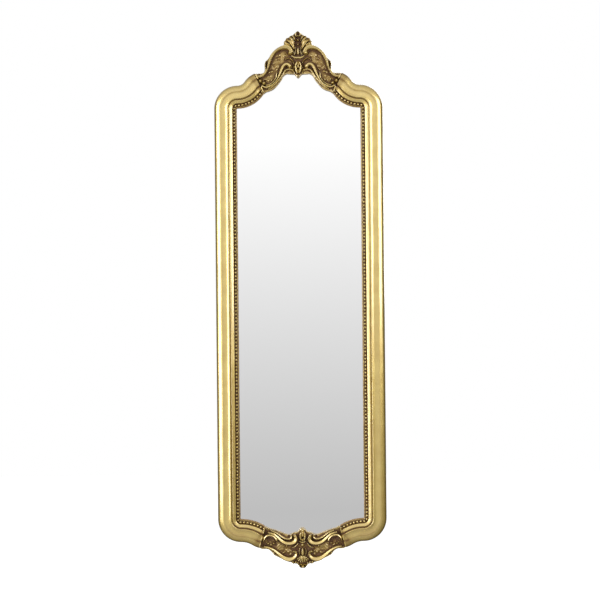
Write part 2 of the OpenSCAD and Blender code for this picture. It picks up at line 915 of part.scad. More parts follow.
module hanger_screws() {
    color(STEEL)
    for (side = [0, 1], z = strap_screw_heights())
        mirror([side, 0, 0])
            back_screw([hanger_x, z], strap_screw_d, 2 * strap_screw_d, strap_t, strap_screw_l - 0.5);
}

// ---- Turn buttons ----

button_reach = button_l - button_w;

// Flat blade with round ends, which lies over the edge of the backing board
module turn_button(i) {
    z = button_heights()[i];
    color(BRASS)
    difference() {
        union() {
            peg([button_x, z], button_w, -running_gap - button_t, -running_gap);
            peg([button_x - button_reach, z], button_w, -running_gap - button_t, -running_gap);
            translate([button_x - button_reach, back_y + running_gap, z - button_w / 2])
                cube([button_reach, button_t, button_w]);
        }
        peg([button_x, z], pivot_d + 2 * pin_gap, -running_gap - button_t - 1, 0);
    }
}

module turn_button_screws() {
    color(STEEL)
    for (side = [0, 1], z = button_heights())
        mirror([side, 0, 0])
            back_screw([button_x, z], pivot_d, 2 * pivot_d, 2 * running_gap + button_t, pivot_l - 0.5);
}

// ---- Bumpers ----

module wall_bumpers() {
    color(RUBBER)
    for (side = [0, 1], z = [top_z - bumper_inset, bottom_z + bumper_inset])
        mirror([side, 0, 0])
            peg([outer_x - rail_w / 2, z], bumper_d, -bumper_t, 0);
}

// ---- Parts ----

left() stile();  // stile_left
stile();  // stile_right
left() shoulder();  // shoulder_left
shoulder();  // shoulder_right
left() lower_shoulder();  // lower_shoulder_left
lower_shoulder();  // lower_shoulder_right
left() crest_return();  // crest_return_left
crest_return();  // crest_return_right
left() foot_return();  // foot_return_left
foot_return();  // foot_return_right
crest_block();
foot_block();
left() bead_strip();  // bead_strip_left
bead_strip();  // bead_strip_right
left() upper_bead_strip();  // upper_bead_strip_left
upper_bead_strip();  // upper_bead_strip_right
left() lower_bead_strip();  // lower_bead_strip_left
lower_bead_strip();  // lower_bead_strip_right
left() crest_scroll();  // crest_scroll_left
crest_scroll();  // crest_scroll_right
left() crest_inner_scroll();  // crest_inner_scroll_left
crest_inner_scroll();  // crest_inner_scroll_right
left() crest_collar();  // crest_collar_left
crest_collar();  // crest_collar_right
left() crest_leaf();  // crest_leaf_left
crest_leaf();  // crest_leaf_right
crest_shell();
crest_bead_drop();
crest_pendant();
left() foot_scroll();  // foot_scroll_left
foot_scroll();  // foot_scroll_right
left() foot_thin_scroll();  // foot_thin_scroll_left
foot_thin_scroll();  // foot_thin_scroll_right
left() foot_lower_scroll();  // foot_lower_scroll_left
foot_lower_scroll();  // foot_lower_scroll_right
left() foot_collar();  // foot_collar_left
foot_collar();  // foot_collar_right
foot_bud();
foot_drop();
foot_finial();
mirror_glass();
glass_blocks();
backing_board();
stile_dowels();
crest_dowels();
foot_dowels();
left() hanger_strap();  // hanger_strap_left
hanger_strap();  // hanger_strap_right
left() hanger_ring();  // hanger_ring_left
hanger_ring();  // hanger_ring_right
hanger_screws();
left() turn_button(0);  // turn_button_left_1
left() turn_button(1);  // turn_button_left_2
left() turn_button(2);  // turn_button_left_3
turn_button(0);  // turn_button_right_1
turn_button(1);  // turn_button_right_2
turn_button(2);  // turn_button_right_3
turn_button_screws();
wall_bumpers();
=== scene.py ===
import math

import bmesh
import bpy
import numpy as np
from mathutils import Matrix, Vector
from mathutils.geometry import tessellate_polygon


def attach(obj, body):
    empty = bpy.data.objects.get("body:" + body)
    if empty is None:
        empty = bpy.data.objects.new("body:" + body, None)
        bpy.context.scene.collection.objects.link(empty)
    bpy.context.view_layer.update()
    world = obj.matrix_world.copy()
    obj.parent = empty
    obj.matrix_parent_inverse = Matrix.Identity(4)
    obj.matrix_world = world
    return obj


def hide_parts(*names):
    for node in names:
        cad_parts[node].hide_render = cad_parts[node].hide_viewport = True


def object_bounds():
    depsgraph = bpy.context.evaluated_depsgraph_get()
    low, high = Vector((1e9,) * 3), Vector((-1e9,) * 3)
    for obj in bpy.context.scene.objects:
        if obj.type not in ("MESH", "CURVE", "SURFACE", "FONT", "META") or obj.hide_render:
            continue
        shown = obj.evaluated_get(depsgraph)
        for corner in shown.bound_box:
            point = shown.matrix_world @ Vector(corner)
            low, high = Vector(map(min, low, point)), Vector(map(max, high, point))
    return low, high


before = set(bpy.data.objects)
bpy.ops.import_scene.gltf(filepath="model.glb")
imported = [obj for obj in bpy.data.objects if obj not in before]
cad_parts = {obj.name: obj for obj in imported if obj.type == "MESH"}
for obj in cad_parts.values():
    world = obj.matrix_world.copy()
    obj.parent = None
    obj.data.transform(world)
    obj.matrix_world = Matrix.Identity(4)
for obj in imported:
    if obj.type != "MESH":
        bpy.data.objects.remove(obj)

CAD_BOX = [[float(x) for x in corner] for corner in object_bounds()]

bl_info = {
    "name": "Pier mirror",
    "version": (1, 0, 0),
    "blender": (4, 5, 0),
    "location": "3D View > Sidebar > Pier Mirror",
    "description": "Dresses the pier mirror: gilded moulding, beads, carved crest and foot, glass and back",
    "category": "Add Mesh",
}

# ---- Sizes, in millimetres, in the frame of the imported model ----

MM = 0.001
BODY = "mirror_frame"
SIDES = {"left": -1, "right": 1}

# Outer side, ends of the stiles, back of the frame, and the small turns at the sight edge
OUTER_X, TOP_Z, BOTTOM_Z = 204.0, 163.0, -830.0
BACK_Y = -8.0
SIGHT_R = 2.0

# The rail's members, from the outer side in
ROLL_W, BAND_W, QUIRK_W, TORUS_W, CHANNEL_W, LIP_W = 18.0, 14.0, 4.0, 7.0, 8.0, 3.0
RAIL_W = ROLL_W + BAND_W + QUIRK_W + TORUS_W + CHANNEL_W + LIP_W
BAND_AT = ROLL_W + BAND_W
TORUS_AT = BAND_AT + QUIRK_W
CHANNEL_AT = TORUS_AT + TORUS_W
LIP_AT = CHANNEL_AT + CHANNEL_W
SIGHT_X = OUTER_X - RAIL_W
REBATE_W, REBATE_D = 8.0, 7.0
CHANNEL_H, STRIP_T, STRIP_GAP = 15.0, 1.6, 0.2

# Turn and tilt of the bent rails in degrees, how far from the centre line they end, and which way they go
UPPER = {"turn": 55.0, "tilt": 24.0, "end_x": OUTER_X * 0.4167, "up": 1}
LOWER = {"turn": 32.0, "tilt": 14.0, "end_x": OUTER_X * 0.451, "up": -1}

# How far the carving laps over the rail, and its rolled edge: height, radius, and what it may rise to
LAP, EDGE_H, EDGE_ROLL, TALLEST_H = 7.0, 11.5, 3.6, 34.0


# ---- Curves ----

def arc(centre, radius, start, end, steps):
    """Points of a circular arc, angles in degrees"""
    angle = np.radians(np.linspace(start, end, steps + 1))
    return np.column_stack([centre[0] + radius * np.cos(angle), centre[1] + radius * np.sin(angle)])


def spline(points, steps=5):
    """A smooth curve through the points, with so many steps from each to the next"""
    p = np.asarray(points, float)
    if p.ndim == 1:
        p = p[:, None]
    padded = np.vstack([p[:1], p, p[-1:]])
    t = (np.arange(steps) / steps)[:, None]
    runs = []
    for a, b, c, d in zip(padded, padded[1:], padded[2:], padded[3:]):
        runs.append(0.5 * (2 * b + (c - a) * t + (2 * a - 5 * b + 4 * c - d) * t ** 2
                           + (3 * b - a - 3 * c + d) * t ** 3))
    return np.vstack(runs + [p[-1:]])


def bend_radius(bend):
    """Radius of a rail's hollow turn at its sight edge"""
    turn, tilt = math.radians(bend["turn"]), math.radians(bend["tilt"])
    room = SIGHT_X - SIGHT_R - bend["end_x"] - SIGHT_R * (math.sin(turn) - math.sin(tilt))
    return round(100 * room / math.sin(turn)) / 100


def bent_line(bend, inset, steps=20):
    """The line along a bent rail, from the stile's end, at a distance in from its outer side"""
    reach = RAIL_W - inset
    turn, tilt = bend["turn"], bend["tilt"]
    radius = bend_radius(bend)
    corner = np.array([SIGHT_X - SIGHT_R, 0.0])
    hollow = corner + [0, SIGHT_R + radius]
    way = math.radians(turn)
    lean = hollow - (radius + SIGHT_R) * np.array([math.sin(way), math.cos(way)])
    return np.vstack([
        arc(corner, SIGHT_R + reach, 0, 90, steps),
        arc(hollow, radius - reach, -90, -90 - turn, steps)[1:],
        arc(lean, SIGHT_R + reach, 90 - turn, 90 - tilt, steps // 2)[1:],
    ])


def side_line(inset, steps=20, stile_steps=90):
    """The line along one whole side of the frame, from the foot up to the crest"""
    lower = bent_line(LOWER, inset, steps) * [1, -1] + [0, BOTTOM_Z]
    upper = bent_line(UPPER, inset, steps) + [0, TOP_Z]
    heights = np.linspace(BOTTOM_Z, TOP_Z, stile_steps + 1)[1:-1]
    stile = np.column_stack([np.full(len(heights), OUTER_X - inset), heights])
    return np.vstack([lower[::-1], stile, upper])


def directions(loop):
    """Which way a closed line runs at each of its points"""
    ahead = np.roll(loop, -1, 0) - np.roll(loop, 1, 0)
    return ahead / np.linalg.norm(ahead, axis=1)[:, None]


def lengths(line):
    """Length along the line up to each of its points"""
    return np.concatenate([[0], np.cumsum(np.linalg.norm(np.diff(line, axis=0), axis=1))])


CREST_Z = TOP_Z + bent_line(UPPER, RAIL_W)[-1][1]
FOOT_Z = BOTTOM_Z - bent_line(LOWER, RAIL_W)[-1][1]


# ---- Smooth random lumps ----

def lumps(points, pitch, seed):
    """Smooth value noise from -1 to 1 over points in millimetres, with lumps about one pitch wide"""
    table = np.random.default_rng(seed).uniform(-1, 1, (64, 64))
    scaled = np.asarray(points, float) / pitch
    cell = np.floor(scaled).astype(int)
    t = scaled - cell
    t = t * t * (3 - 2 * t)
    i, j = cell[..., 0] % 64, cell[..., 1] % 64
    low = table[i, j] * (1 - t[..., 0]) + table[(i + 1) % 64, j] * t[..., 0]
    high = table[i, (j + 1) % 64] * (1 - t[..., 0]) + table[(i + 1) % 64, (j + 1) % 64] * t[..., 0]
    return low * (1 - t[..., 1]) + high * t[..., 1]


# ---- Meshes ----

def placed(name, data):
    """Object for the data, in the scene"""
    made = bpy.data.objects.new(name, data)
    bpy.context.scene.collection.objects.link(made)
    return made


def piece(name, mesh, finishes, body=BODY, replaces=()):
    """Object for a finished mesh, with its finishes, riding on its body"""
    made = placed(name, mesh)
    # a mesh grown by nodes comes with its material, and clearing that would lose which face has which
    if not mesh.materials:
        for key in finishes:
            mesh.materials.append(finish(key))
    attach(made, body)
    if replaces:
        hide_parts(*replaces)
    return made


def smoothed(mesh, angle):
    """The mesh, shaded smooth but for edges sharper than the angle in degrees"""
    mesh.shade_smooth()
    mesh.set_sharp_from_angle(angle=math.radians(angle))
    return mesh


def set_wax_and_shade(mesh, values):
    """Store on each point, from 0 to 1, its wax and painted shade in one number"""
    attribute = mesh.attributes.new("wax", "FLOAT", "POINT")
    attribute.data.foreach_set("value", np.asarray(values, np.float32))


def mesh_of(name, points, faces, material_index=None, uv=None, wax=None, smooth_angle=35):
    """Mesh from points in millimetres, its normals out and smooth below an angle.
    uv holds one pair per face corner, and wax one number per point, of wax and painted shade."""
    mesh = bpy.data.meshes.new(name)
    mesh.from_pydata([tuple(float(c) * MM for c in p) for p in points], [], [tuple(f) for f in faces])
    if material_index is not None:
        mesh.polygons.foreach_set("material_index", np.asarray(material_index, np.int32))
    if uv is not None:
        layer = mesh.uv_layers.new(name="along_the_grain")
        layer.data.foreach_set("uv", (np.asarray(uv, np.float32) * MM).ravel())
    if wax is not None:
        set_wax_and_shade(mesh, wax)
    shell = bmesh.new()
    shell.from_mesh(mesh)
    bmesh.ops.recalc_face_normals(shell, faces=shell.faces)
    shell.to_mesh(mesh)
    shell.free()
    smoothed(mesh, smooth_angle).update()
    return mesh


def strip_faces(rows, count, closed=False):
    """Quads between the rows of a net of points, each row a closed ring of count points"""
    return [(i * count + j, i * count + k, n * count + k, n * count + j)
            for i, n in ((i, (i + 1) % rows) for i in range(rows if closed else rows - 1))
            for j, k in ((j, (j + 1) % count) for j in range(count))]


def sweep(name, section, side, wax, backs=(), wander=0.0, smooth_angle=35):
    """A closed section, pairs of inset and height, swept along one side of the frame.
    backs holds the section's stretches that are bare wood, as the second of two materials. wax holds, for
    each point of the section, its wax everywhere, the darkening low on the frame, and the painted shade in
    the creases along the bent rails; more painted shade is laid where the rail runs under the carving's lap."""
    section = np.asarray(section, float)
    lines = np.array([side_line(inset) for inset, _ in section])
    ring, stations = len(section), lines.shape[1]
    across = lengths(np.vstack([section, section[:1]]))
    along = lengths(side_line(RAIL_W / 2))
    heights = np.repeat(section[:, 1][:, None], stations, 1)
    if wander:
        # only the face wanders, in waves about 34 mm long and a third as wide
        where = np.stack(np.broadcast_arrays(across[:ring, None] * 3, along[None, :]), -1)
        lift = wander * lumps(where, 34.0, 5)
        heights = heights + np.where(heights > REBATE_D + 6, lift, 0)
    points = np.stack([side * lines[:, :, 0], BACK_Y - heights, lines[:, :, 1]], -1)
    corners = [(across[j + dj], along[i + di]) for i in range(stations - 1) for j in range(ring)
               for dj, di in ((0, 0), (1, 0), (1, 1), (0, 1))]
    faces = strip_faces(stations, ring)
    index = [1 if j in backs else 0 for _ in range(stations - 1) for j in range(ring)]
    for i in (0, stations - 1):
        faces.append(tuple(i * ring + j for j in range(ring)))
        corners += [tuple(s) for s in section]
        index.append(1 if backs else 0)

    everywhere, low_darkening, bend_crease_shade = wax
    from_lap = np.clip(np.minimum(along, along[-1] - along) - (LAP + 1), 0, None)
    level = side_line(RAIL_W / 2)[:, 1]
    # darker from 150 mm below the rings down, over 350 mm, and painted crease shade past the stile's ends,
    # over 25 mm
    low = np.clip((-150 - level) / 350, 0, 1)
    bent = np.clip((np.abs(level - (TOP_Z + BOTTOM_Z) / 2) - (TOP_Z - BOTTOM_Z) / 2) / 25, 0, 1)
    # wax everywhere, painted shade where the rail runs under the carving's lap, darker low on the frame, and
    # painted shade in the bends' creases
    wax_and_shade = (np.asarray(everywhere)[None, :] + 0.35 * np.exp(-from_lap / 3.0)[:, None]
             + low[:, None] * np.asarray(low_darkening) + bent[:, None] * np.asarray(bend_crease_shade))
    return mesh_of(name, points.transpose(1, 0, 2).reshape(-1, 3), faces, index, corners,
                   np.clip(wax_and_shade, 0, 1).ravel(), smooth_angle)


def lathe(profile, centre, steps):
    """Points and faces of a profile, pairs of radius and height, turned about a line along Y.
    The profile starts and ends on the line, and heights run towards the wall."""
    x, y, z = centre
    points = [(x, y + profile[0][1], z)]
    for radius, height in profile[1:-1]:
        for angle in np.linspace(0, 2 * math.pi, steps, endpoint=False):
            points.append((x + radius * math.cos(angle), y + height, z + radius * math.sin(angle)))
    points.append((x, y + profile[-1][1], z))
    faces = []
    rings = len(profile) - 2
    for j in range(steps):
        k = (j + 1) % steps
        faces.append((0, 1 + j, 1 + k))
        for i in range(rings - 1):
            a, b = 1 + i * steps, 1 + (i + 1) * steps
            faces.append((a + j, b + j, b + k, a + k))
        faces.append((1 + (rings - 1) * steps + k, 1 + (rings - 1) * steps + j, len(points) - 1))
    return points, faces


# ---- Nodes ----

def fill(tree, node, inputs):
    """Set a node's inputs, or link them to a socket or to another node's first output"""
    for key, value in inputs.items():
        if isinstance(value, bpy.types.Node):
            value = value.outputs[0]
        if isinstance(value, bpy.types.NodeSocket):
            tree.links.new(value, node.inputs[key])
        else:
            node.inputs[key].default_value = value


def add_node(tree, kind, inputs=None, **settings):
    """Add a node, give it its settings, and set or link its inputs"""
    made = tree.nodes.new(kind)
    for key, value in settings.items():
        setattr(made, key, value)
    fill(tree, made, inputs or {})
    return made


# ---- Geometry Nodes ----

def tree_with(name, inputs):
    """Geometry tree with a geometry in and out, and the named inputs"""
    tree = bpy.data.node_groups.new(name, "GeometryNodeTree")
    tree.interface.new_socket("Geometry", in_out="INPUT", socket_type="NodeSocketGeometry")
    for label, kind in inputs.items():
        tree.interface.new_socket(label, in_out="INPUT", socket_type=kind)
    tree.interface.new_socket("Geometry", in_out="OUTPUT", socket_type="NodeSocketGeometry")
    return tree, add_node(tree, "NodeGroupInput").outputs


def handed_out(tree, instances, material, smooth=False):
    """Turn instances into plain mesh with its material, and hand it out of the tree"""
    shape = add_node(tree, "GeometryNodeRealizeInstances", {0: instances}).outputs[0]
    if smooth:
        shape = add_node(tree, "GeometryNodeSetShadeSmooth", {0: shape, "Shade Smooth": True}).outputs[0]
    dressed = add_node(tree, "GeometryNodeSetMaterial", {"Geometry": shape, "Material": material})
    add_node(tree, "NodeGroupOutput", {0: dressed.outputs[0]})
    return tree


def applied(host):
    """Plain mesh of an object with its modifiers applied"""
    bpy.context.view_layer.update()
    graph = bpy.context.evaluated_depsgraph_get()
    return bpy.data.meshes.new_from_object(host.evaluated_get(graph))


def grow(name, seed_mesh, tree, values):
    """Plain mesh that the tree makes from the seed mesh with these input values"""
    host = placed(name, seed_mesh)
    modifier = host.modifiers.new("grow", "NODES")
    modifier.node_group = tree
    for item in tree.interface.items_tree:
        if item.item_type == "SOCKET" and item.in_out == "INPUT" and item.name in values:
            modifier[item.identifier] = values[item.name]
    grown = applied(host)
    bpy.data.objects.remove(host)
    grown.name = name
    return grown


def bead_tree(material):
    """Beads along a line: one ball each pitch, no two quite alike"""
    tree, given = tree_with("bead_row", {
        "Bead diameter": "NodeSocketFloat", "Pitch": "NodeSocketFloat",
        "Variation": "NodeSocketFloat", "Seed": "NodeSocketInt",
    })
    line = add_node(tree, "GeometryNodeMeshToCurve", {"Mesh": given["Geometry"]})
    places = add_node(tree, "GeometryNodeCurveToPoints",
                      {"Curve": line.outputs["Curve"], "Length": given["Pitch"]}, mode="LENGTH")
    radius = add_node(tree, "ShaderNodeMath", {0: given["Bead diameter"], 1: 0.5}, operation="MULTIPLY")
    ball = add_node(tree, "GeometryNodeMeshIcoSphere", {"Radius": radius, "Subdivisions": 3})
    least = add_node(tree, "ShaderNodeMath", {0: 1.0, 1: given["Variation"]}, operation="SUBTRACT")
    size = add_node(tree, "FunctionNodeRandomValue", {2: least, 3: 1.0, "Seed": given["Seed"]},
                    data_type="FLOAT")
    beads = add_node(tree, "GeometryNodeInstanceOnPoints", {
        "Points": places.outputs["Points"], "Instance": ball.outputs["Mesh"], "Scale": size.outputs[1]})
    return handed_out(tree, beads.outputs[0], material, smooth=True)


def screw_tree(head, material):
    """One screw head at each point, each with its slot at its own angle"""
    tree, given = tree_with("screw_heads", {"Turn": "NodeSocketFloat", "Seed": "NodeSocketInt"})
    source = add_node(tree, "GeometryNodeObjectInfo", {"Object": head})
    most = add_node(tree, "ShaderNodeCombineXYZ", {"Y": given["Turn"]})
    turn = add_node(tree, "FunctionNodeRandomValue",
                    {0: (0.0, 0.0, 0.0), 1: most.outputs[0], "Seed": given["Seed"]}, data_type="FLOAT_VECTOR")
    spun = add_node(tree, "FunctionNodeEulerToRotation", {0: turn.outputs[0]})
    heads = add_node(tree, "GeometryNodeInstanceOnPoints", {
        "Points": given["Geometry"], "Instance": source.outputs["Geometry"], "Rotation": spun.outputs[0]})
    return handed_out(tree, heads.outputs[0], material)


# ---- Carving in relief ----

def nearest(points, line):
    """For each point: distance to the line, place along it counted in its points, and side"""
    best = np.full(len(points), np.inf)
    along = np.zeros(len(points))
    side = np.ones(len(points))
    for i in range(len(line) - 1):
        run = line[i + 1] - line[i]
        rel = points - line[i]
        t = np.clip(rel @ run / max(run @ run, 1e-12), 0, 1)
        gap = np.linalg.norm(rel - t[:, None] * run, axis=1)
        near = gap < best
        best[near] = gap[near]
        along[near] = i + t[near]
        side[near] = np.where(run[0] * rel[near, 1] - run[1] * rel[near, 0] < 0, -1, 1)
    return best, along, side


def rounded(q):
    """Broad rounded face that falls away steeply at both edges"""
    return np.clip(1 - np.abs(q) ** 4.2, 0, 1) ** 0.5


def scrolled(q):
    """Scroll with a full rim towards the ground that it frames, a shallow hollow and a lower outer rim"""
    fall = np.clip(1 - np.abs(q) ** 5, 0, 1) ** 0.5
    return fall * (0.84 + 0.16 * np.exp(-((q - 0.42) / 0.34) ** 2) - 0.05 * np.exp(-((q + 0.2) / 0.26) ** 2))


def tipped(q):
    """Broad face that leans up to the light, away from the ground below it"""
    return np.clip(1 - np.abs(q) ** 8, 0, 1) ** 0.5 * (0.9 - 0.1 * q)


def ridged(q):
    """Leaf that rises to a midrib"""
    return np.clip(1 - np.abs(q) ** 2, 0, 1) ** 0.8


def lobed(q):
    """Broad leaf, hollowed on both sides of its midrib, with a rim"""
    a = np.abs(q)
    fall = np.clip(1 - a ** 5, 0, 1) ** 0.6
    return fall * (0.82 + 0.16 * np.exp(-(a / 0.2) ** 2) + 0.14 * np.exp(-((a - 0.72) / 0.18) ** 2))


def off_path(points, path, widths):
    """Which points lie near a path, and how far off it they are, in half its width and signed"""
    line, wide = spline(path, 6), spline(widths, 6)[:, 0]
    margin = wide.max() / 2 + 0.5
    near = np.all((points > line.min(0) - margin) & (points < line.max(0) + margin), axis=1)
    gap, along, side = nearest(points[near], line)
    return near, gap / (np.interp(along, np.arange(len(wide)), wide) / 2) * side


def strand(points, path, widths, low, rise, shape):
    """Height of a carved strand over the points, and minus infinity away from it"""
    near, q = off_path(points, path, widths)
    height = np.full(len(points), -np.inf)
    height[near] = np.where(np.abs(q) < 1, low + rise * shape(q), -np.inf)
    return height


def boss(points, centre, radii, low, rise):
    """Height of a round or oval boss over the points"""
    q2 = (((points - centre) / radii) ** 2).sum(1)
    return np.where(q2 < 1, low + rise * np.sqrt(np.clip(1 - q2, 0, 1)), -np.inf)


def lowered(height, floor, share):
    """The height brought down towards the floor by a share, and never up"""
    return np.minimum(height, height + (floor - height) * share)


def pit(height, points, centre, radii, floor):
    """The height with a round pit sunk into it"""
    q2 = (((points - centre) / radii) ** 2).sum(1)
    return lowered(height, floor, np.clip(1 - q2, 0, 1) ** 0.5)


def groove(height, points, path, widths, floor):
    """The height with a groove cut along the path down to the floor"""
    near, q = off_path(points, path, widths)
    height = height.copy()
    height[near] = lowered(height[near], floor, np.clip(1 - q * q, 0, 1))
    return height


def rocaille(points, low, seed):
    """Rough shell-work ground: soft lumps and slanting flutes that come and go"""
    ground = low + 1.2 * lumps(points, 9.5, seed) + 0.1 * lumps(points, 5.0, seed + 1)
    slant = points @ np.array([0.62, 0.78])
    flutes = np.cos(2 * math.pi * slant / 5.6 + 1.8 * lumps(points, 14.0, seed + 2))
    return ground + 0.3 * flutes * np.clip(lumps(points, 18.0, seed + 3) * 1.4 + 0.35, 0, 1)


def lobes(points, centres, low, rise, seed):
    """Soft lobes of shell-work, one at each centre, no two quite alike"""
    height = np.full(len(points), -np.inf)
    luck = np.random.default_rng(seed)
    for centre in centres:
        turn, long, wide = luck.uniform(0, math.pi), luck.uniform(4.6, 6.2), luck.uniform(3.0, 4.0)
        spun = np.array([[math.cos(turn), math.sin(turn)], [-math.sin(turn), math.cos(turn)]])
        rel = (points - centre - luck.uniform(-2.2, 2.2, 2)) @ spun.T / (long, wide)
        q2 = (rel ** 2).sum(1)
        lift = rise * luck.uniform(0.45, 1.1) * (1 - q2)
        height = np.maximum(height, np.where(q2 < 1, low + lift, -np.inf))
    return height


# Right half of the crest's outline: inner edge from the tip out, then outer edge back up to the tip.
# Across from the centre line, and up from the collars' inner ends. Then the same for the foot.
CREST_INNER = [(0, 38.5), (3, 40), (6, 44), (10, 47.5), (19, 48), (28, 48.5), (35, 44), (40, 35), (46, 27),
               (54, 17.5), (62, 11), (70, 7.5), (77, 5.5)]
CREST_OUTER = [(86, 50.5), (82.5, 53.5), (81, 62), (81.5, 71), (79.5, 78), (76, 82), (72, 86), (67, 94),
               (60, 103), (51, 110.5), (42, 115.5), (34.5, 118.5), (34, 126), (30.5, 130.5), (28, 135),
               (22.5, 136.5), (19.5, 140), (13.5, 141.5), (10, 145), (6, 147.5), (3, 151.2), (0, 152)]
FOOT_INNER = [(0, -4), (4.5, -5.5), (8, -10), (11, -14), (16, -15), (22, -16.5), (27, -19.5), (34, -20.5),
              (40, -19.5), (50, -15.5), (60, -11.5), (70, -8.5), (80, -5.5)]
FOOT_OUTER = [(98, -55.5), (88, -55.5), (80, -58), (73, -65), (68, -71), (60, -75), (48, -81), (38, -86),
              (28, -88.5), (23, -92), (17, -91), (11, -94.5), (9, -98), (5, -102), (0, -101.5)]

# What is carved on the crest: path and widths across and up from the collars' inner ends, rise above the
# ground, and how its face is shaped
CREST_STRANDS = [
    # large scroll, from the collar up and over to its curl
    ([(100, 42), (92, 41.5), (85.5, 44.5), (80, 50.5), (75.8, 58), (72.2, 67), (69.2, 77), (66, 85.5),
      (62, 93.5), (57, 101), (49.5, 107.8), (40, 112), (30, 112.8), (22, 110), (17.2, 104), (17.6, 98)],
     [6, 7.5, 8, 8, 7.6, 7.6, 7.6, 8, 9, 10, 11.6, 13.4, 13.6, 12.4, 11, 10], 12.5, scrolled),
    # inner scroll that frames the glass
    ([(19.5, 66.5), (24.5, 70.5), (30, 71), (35.5, 67), (39.2, 61), (41.8, 54.5), (44.3, 48), (47.8, 41),
      (52, 34), (57.5, 27), (64.5, 20.8), (72, 16.6), (80, 15.4), (87.5, 19)],
     [8, 8.4, 8.6, 8.8, 8.4, 7.6, 6.6, 5.8, 5.4, 5.4, 5.6, 5.8, 5.6, 4.6], 11.5, rounded),
    # its upper branch, with a spur
    ([(52, 50.5), (52.8, 46), (53, 41), (54.8, 35.8), (58.4, 30.2), (64, 24.9), (70.5, 21.8), (78, 20)],
     [1.8, 4.2, 4.8, 4.8, 4.8, 4.6, 4, 3], 11.0, rounded),
    # lip strand beside the glass
    ([(16, 57.8), (22.5, 59), (29.5, 57), (34.3, 52), (38, 46), (43, 39), (49, 31), (57, 22.3), (65, 15.4),
      (73, 11.2)],
     [3.4, 4.2, 4.2, 4, 3.8, 3.6, 3.6, 3.6, 3.4, 2.6], 7.0, rounded),
    # thin arched leaf under the big curl
    ([(10.3, 73), (12.3, 78.2), (16, 82.8), (21.5, 85.8), (27.2, 85), (32, 80.8)],
     [2, 3, 3.4, 3.6, 3.2, 1.8], 6.5, ridged),
    # ear outside the scroll
    ([(80.5, 51), (79.4, 58), (79.6, 66), (80, 73), (77.2, 79.5)], [2, 3.4, 4, 4.2, 2.4], 6.0, ridged),
    # palmette: the large bright leaf, then the lobes over it
    ([(8.8, 107), (11.4, 114), (15, 120.8), (19.5, 126), (25.5, 128.4)], [3, 6.5, 8.5, 8, 4.5], 11.0, lobed),
    ([(20, 117.2), (26.5, 120.5), (31.5, 123.5)], [4, 6.5, 4], 8.0, lobed),
    ([(8.4, 119.5), (11.6, 126), (15.6, 131.5), (20.5, 135.3)], [2.5, 5.5, 6.5, 4.5], 10.0, lobed),
    ([(6.2, 127.5), (8.6, 133), (11.6, 137.6), (14, 140)], [2, 4.4, 5, 3.4], 9.0, lobed),
    ([(4.2, 138), (5.8, 142.5), (5.4, 146.5), (3, 149.6)], [2.4, 4.4, 4.6, 3], 8.5, rounded),
    # upright drop under the beads, with thin flutes at its sides
    ([(0, 110), (0, 106), (0, 101), (0, 96.5), (0, 93.5)], [2.2, 5, 5.8, 4.8, 2.4], 11.0, rounded),
    ([(5.8, 113), (5.6, 104), (5.2, 95)], [1.6, 2.2, 1.6], 4.5, rounded),
    ([(10, 103), (9.4, 98), (8.4, 92.5)], [1.6, 2.6, 1.6], 4.0, rounded),
    # saddle between the curls and the bellflower
    ([(0, 87.4), (5, 87), (10.6, 88.6), (15, 91.6)], [5, 5, 4, 2.4], 4.5, rounded),
    # bellflower: petals, middle and side leaves
    ([(3.4, 75.5), (5.4, 70), (5.8, 62), (4.6, 54.5), (2.4, 49.5)], [3.4, 5.8, 6.4, 5.6, 3], 11.0, rounded),
    ([(0, 77), (0, 69), (0, 60), (0, 51)], [5, 6.4, 7, 5], 10.5, ridged),
    ([(10.4, 66), (11.4, 60), (10.4, 53), (8, 48.8)], [1.8, 3, 3, 1.8], 4.5, ridged),
    # collar where the rail ends
    ([(84.8, 4), (87.2, 10), (89.4, 16)], [3.4, 5.4, 4.6], 9.6, rounded),
    ([(97.4, 36), (100, 41), (102.8, 47)], [4, 6.4, 5], 12.8, rounded),
]
CREST_BOSSES = [
    ((0, 118.5), (3.1, 3.1), 11.0), ((0, 129), (3.1, 3.1), 11.0), ((0, 139), (3.0, 3.0), 11.0),
    ((19, 98.6), (6.2, 6.6), 13.0), ((20.2, 66), (6.0, 5.6), 11.8), ((83, 25.4), (5.2, 5.2), 12.0),
    ((13, 56.8), (3.1, 3.1), 7.5), ((0, 43.6), (4.0, 3.6), 8.0), ((92.0, 31), (5.0, 5.4), 12.6),
]
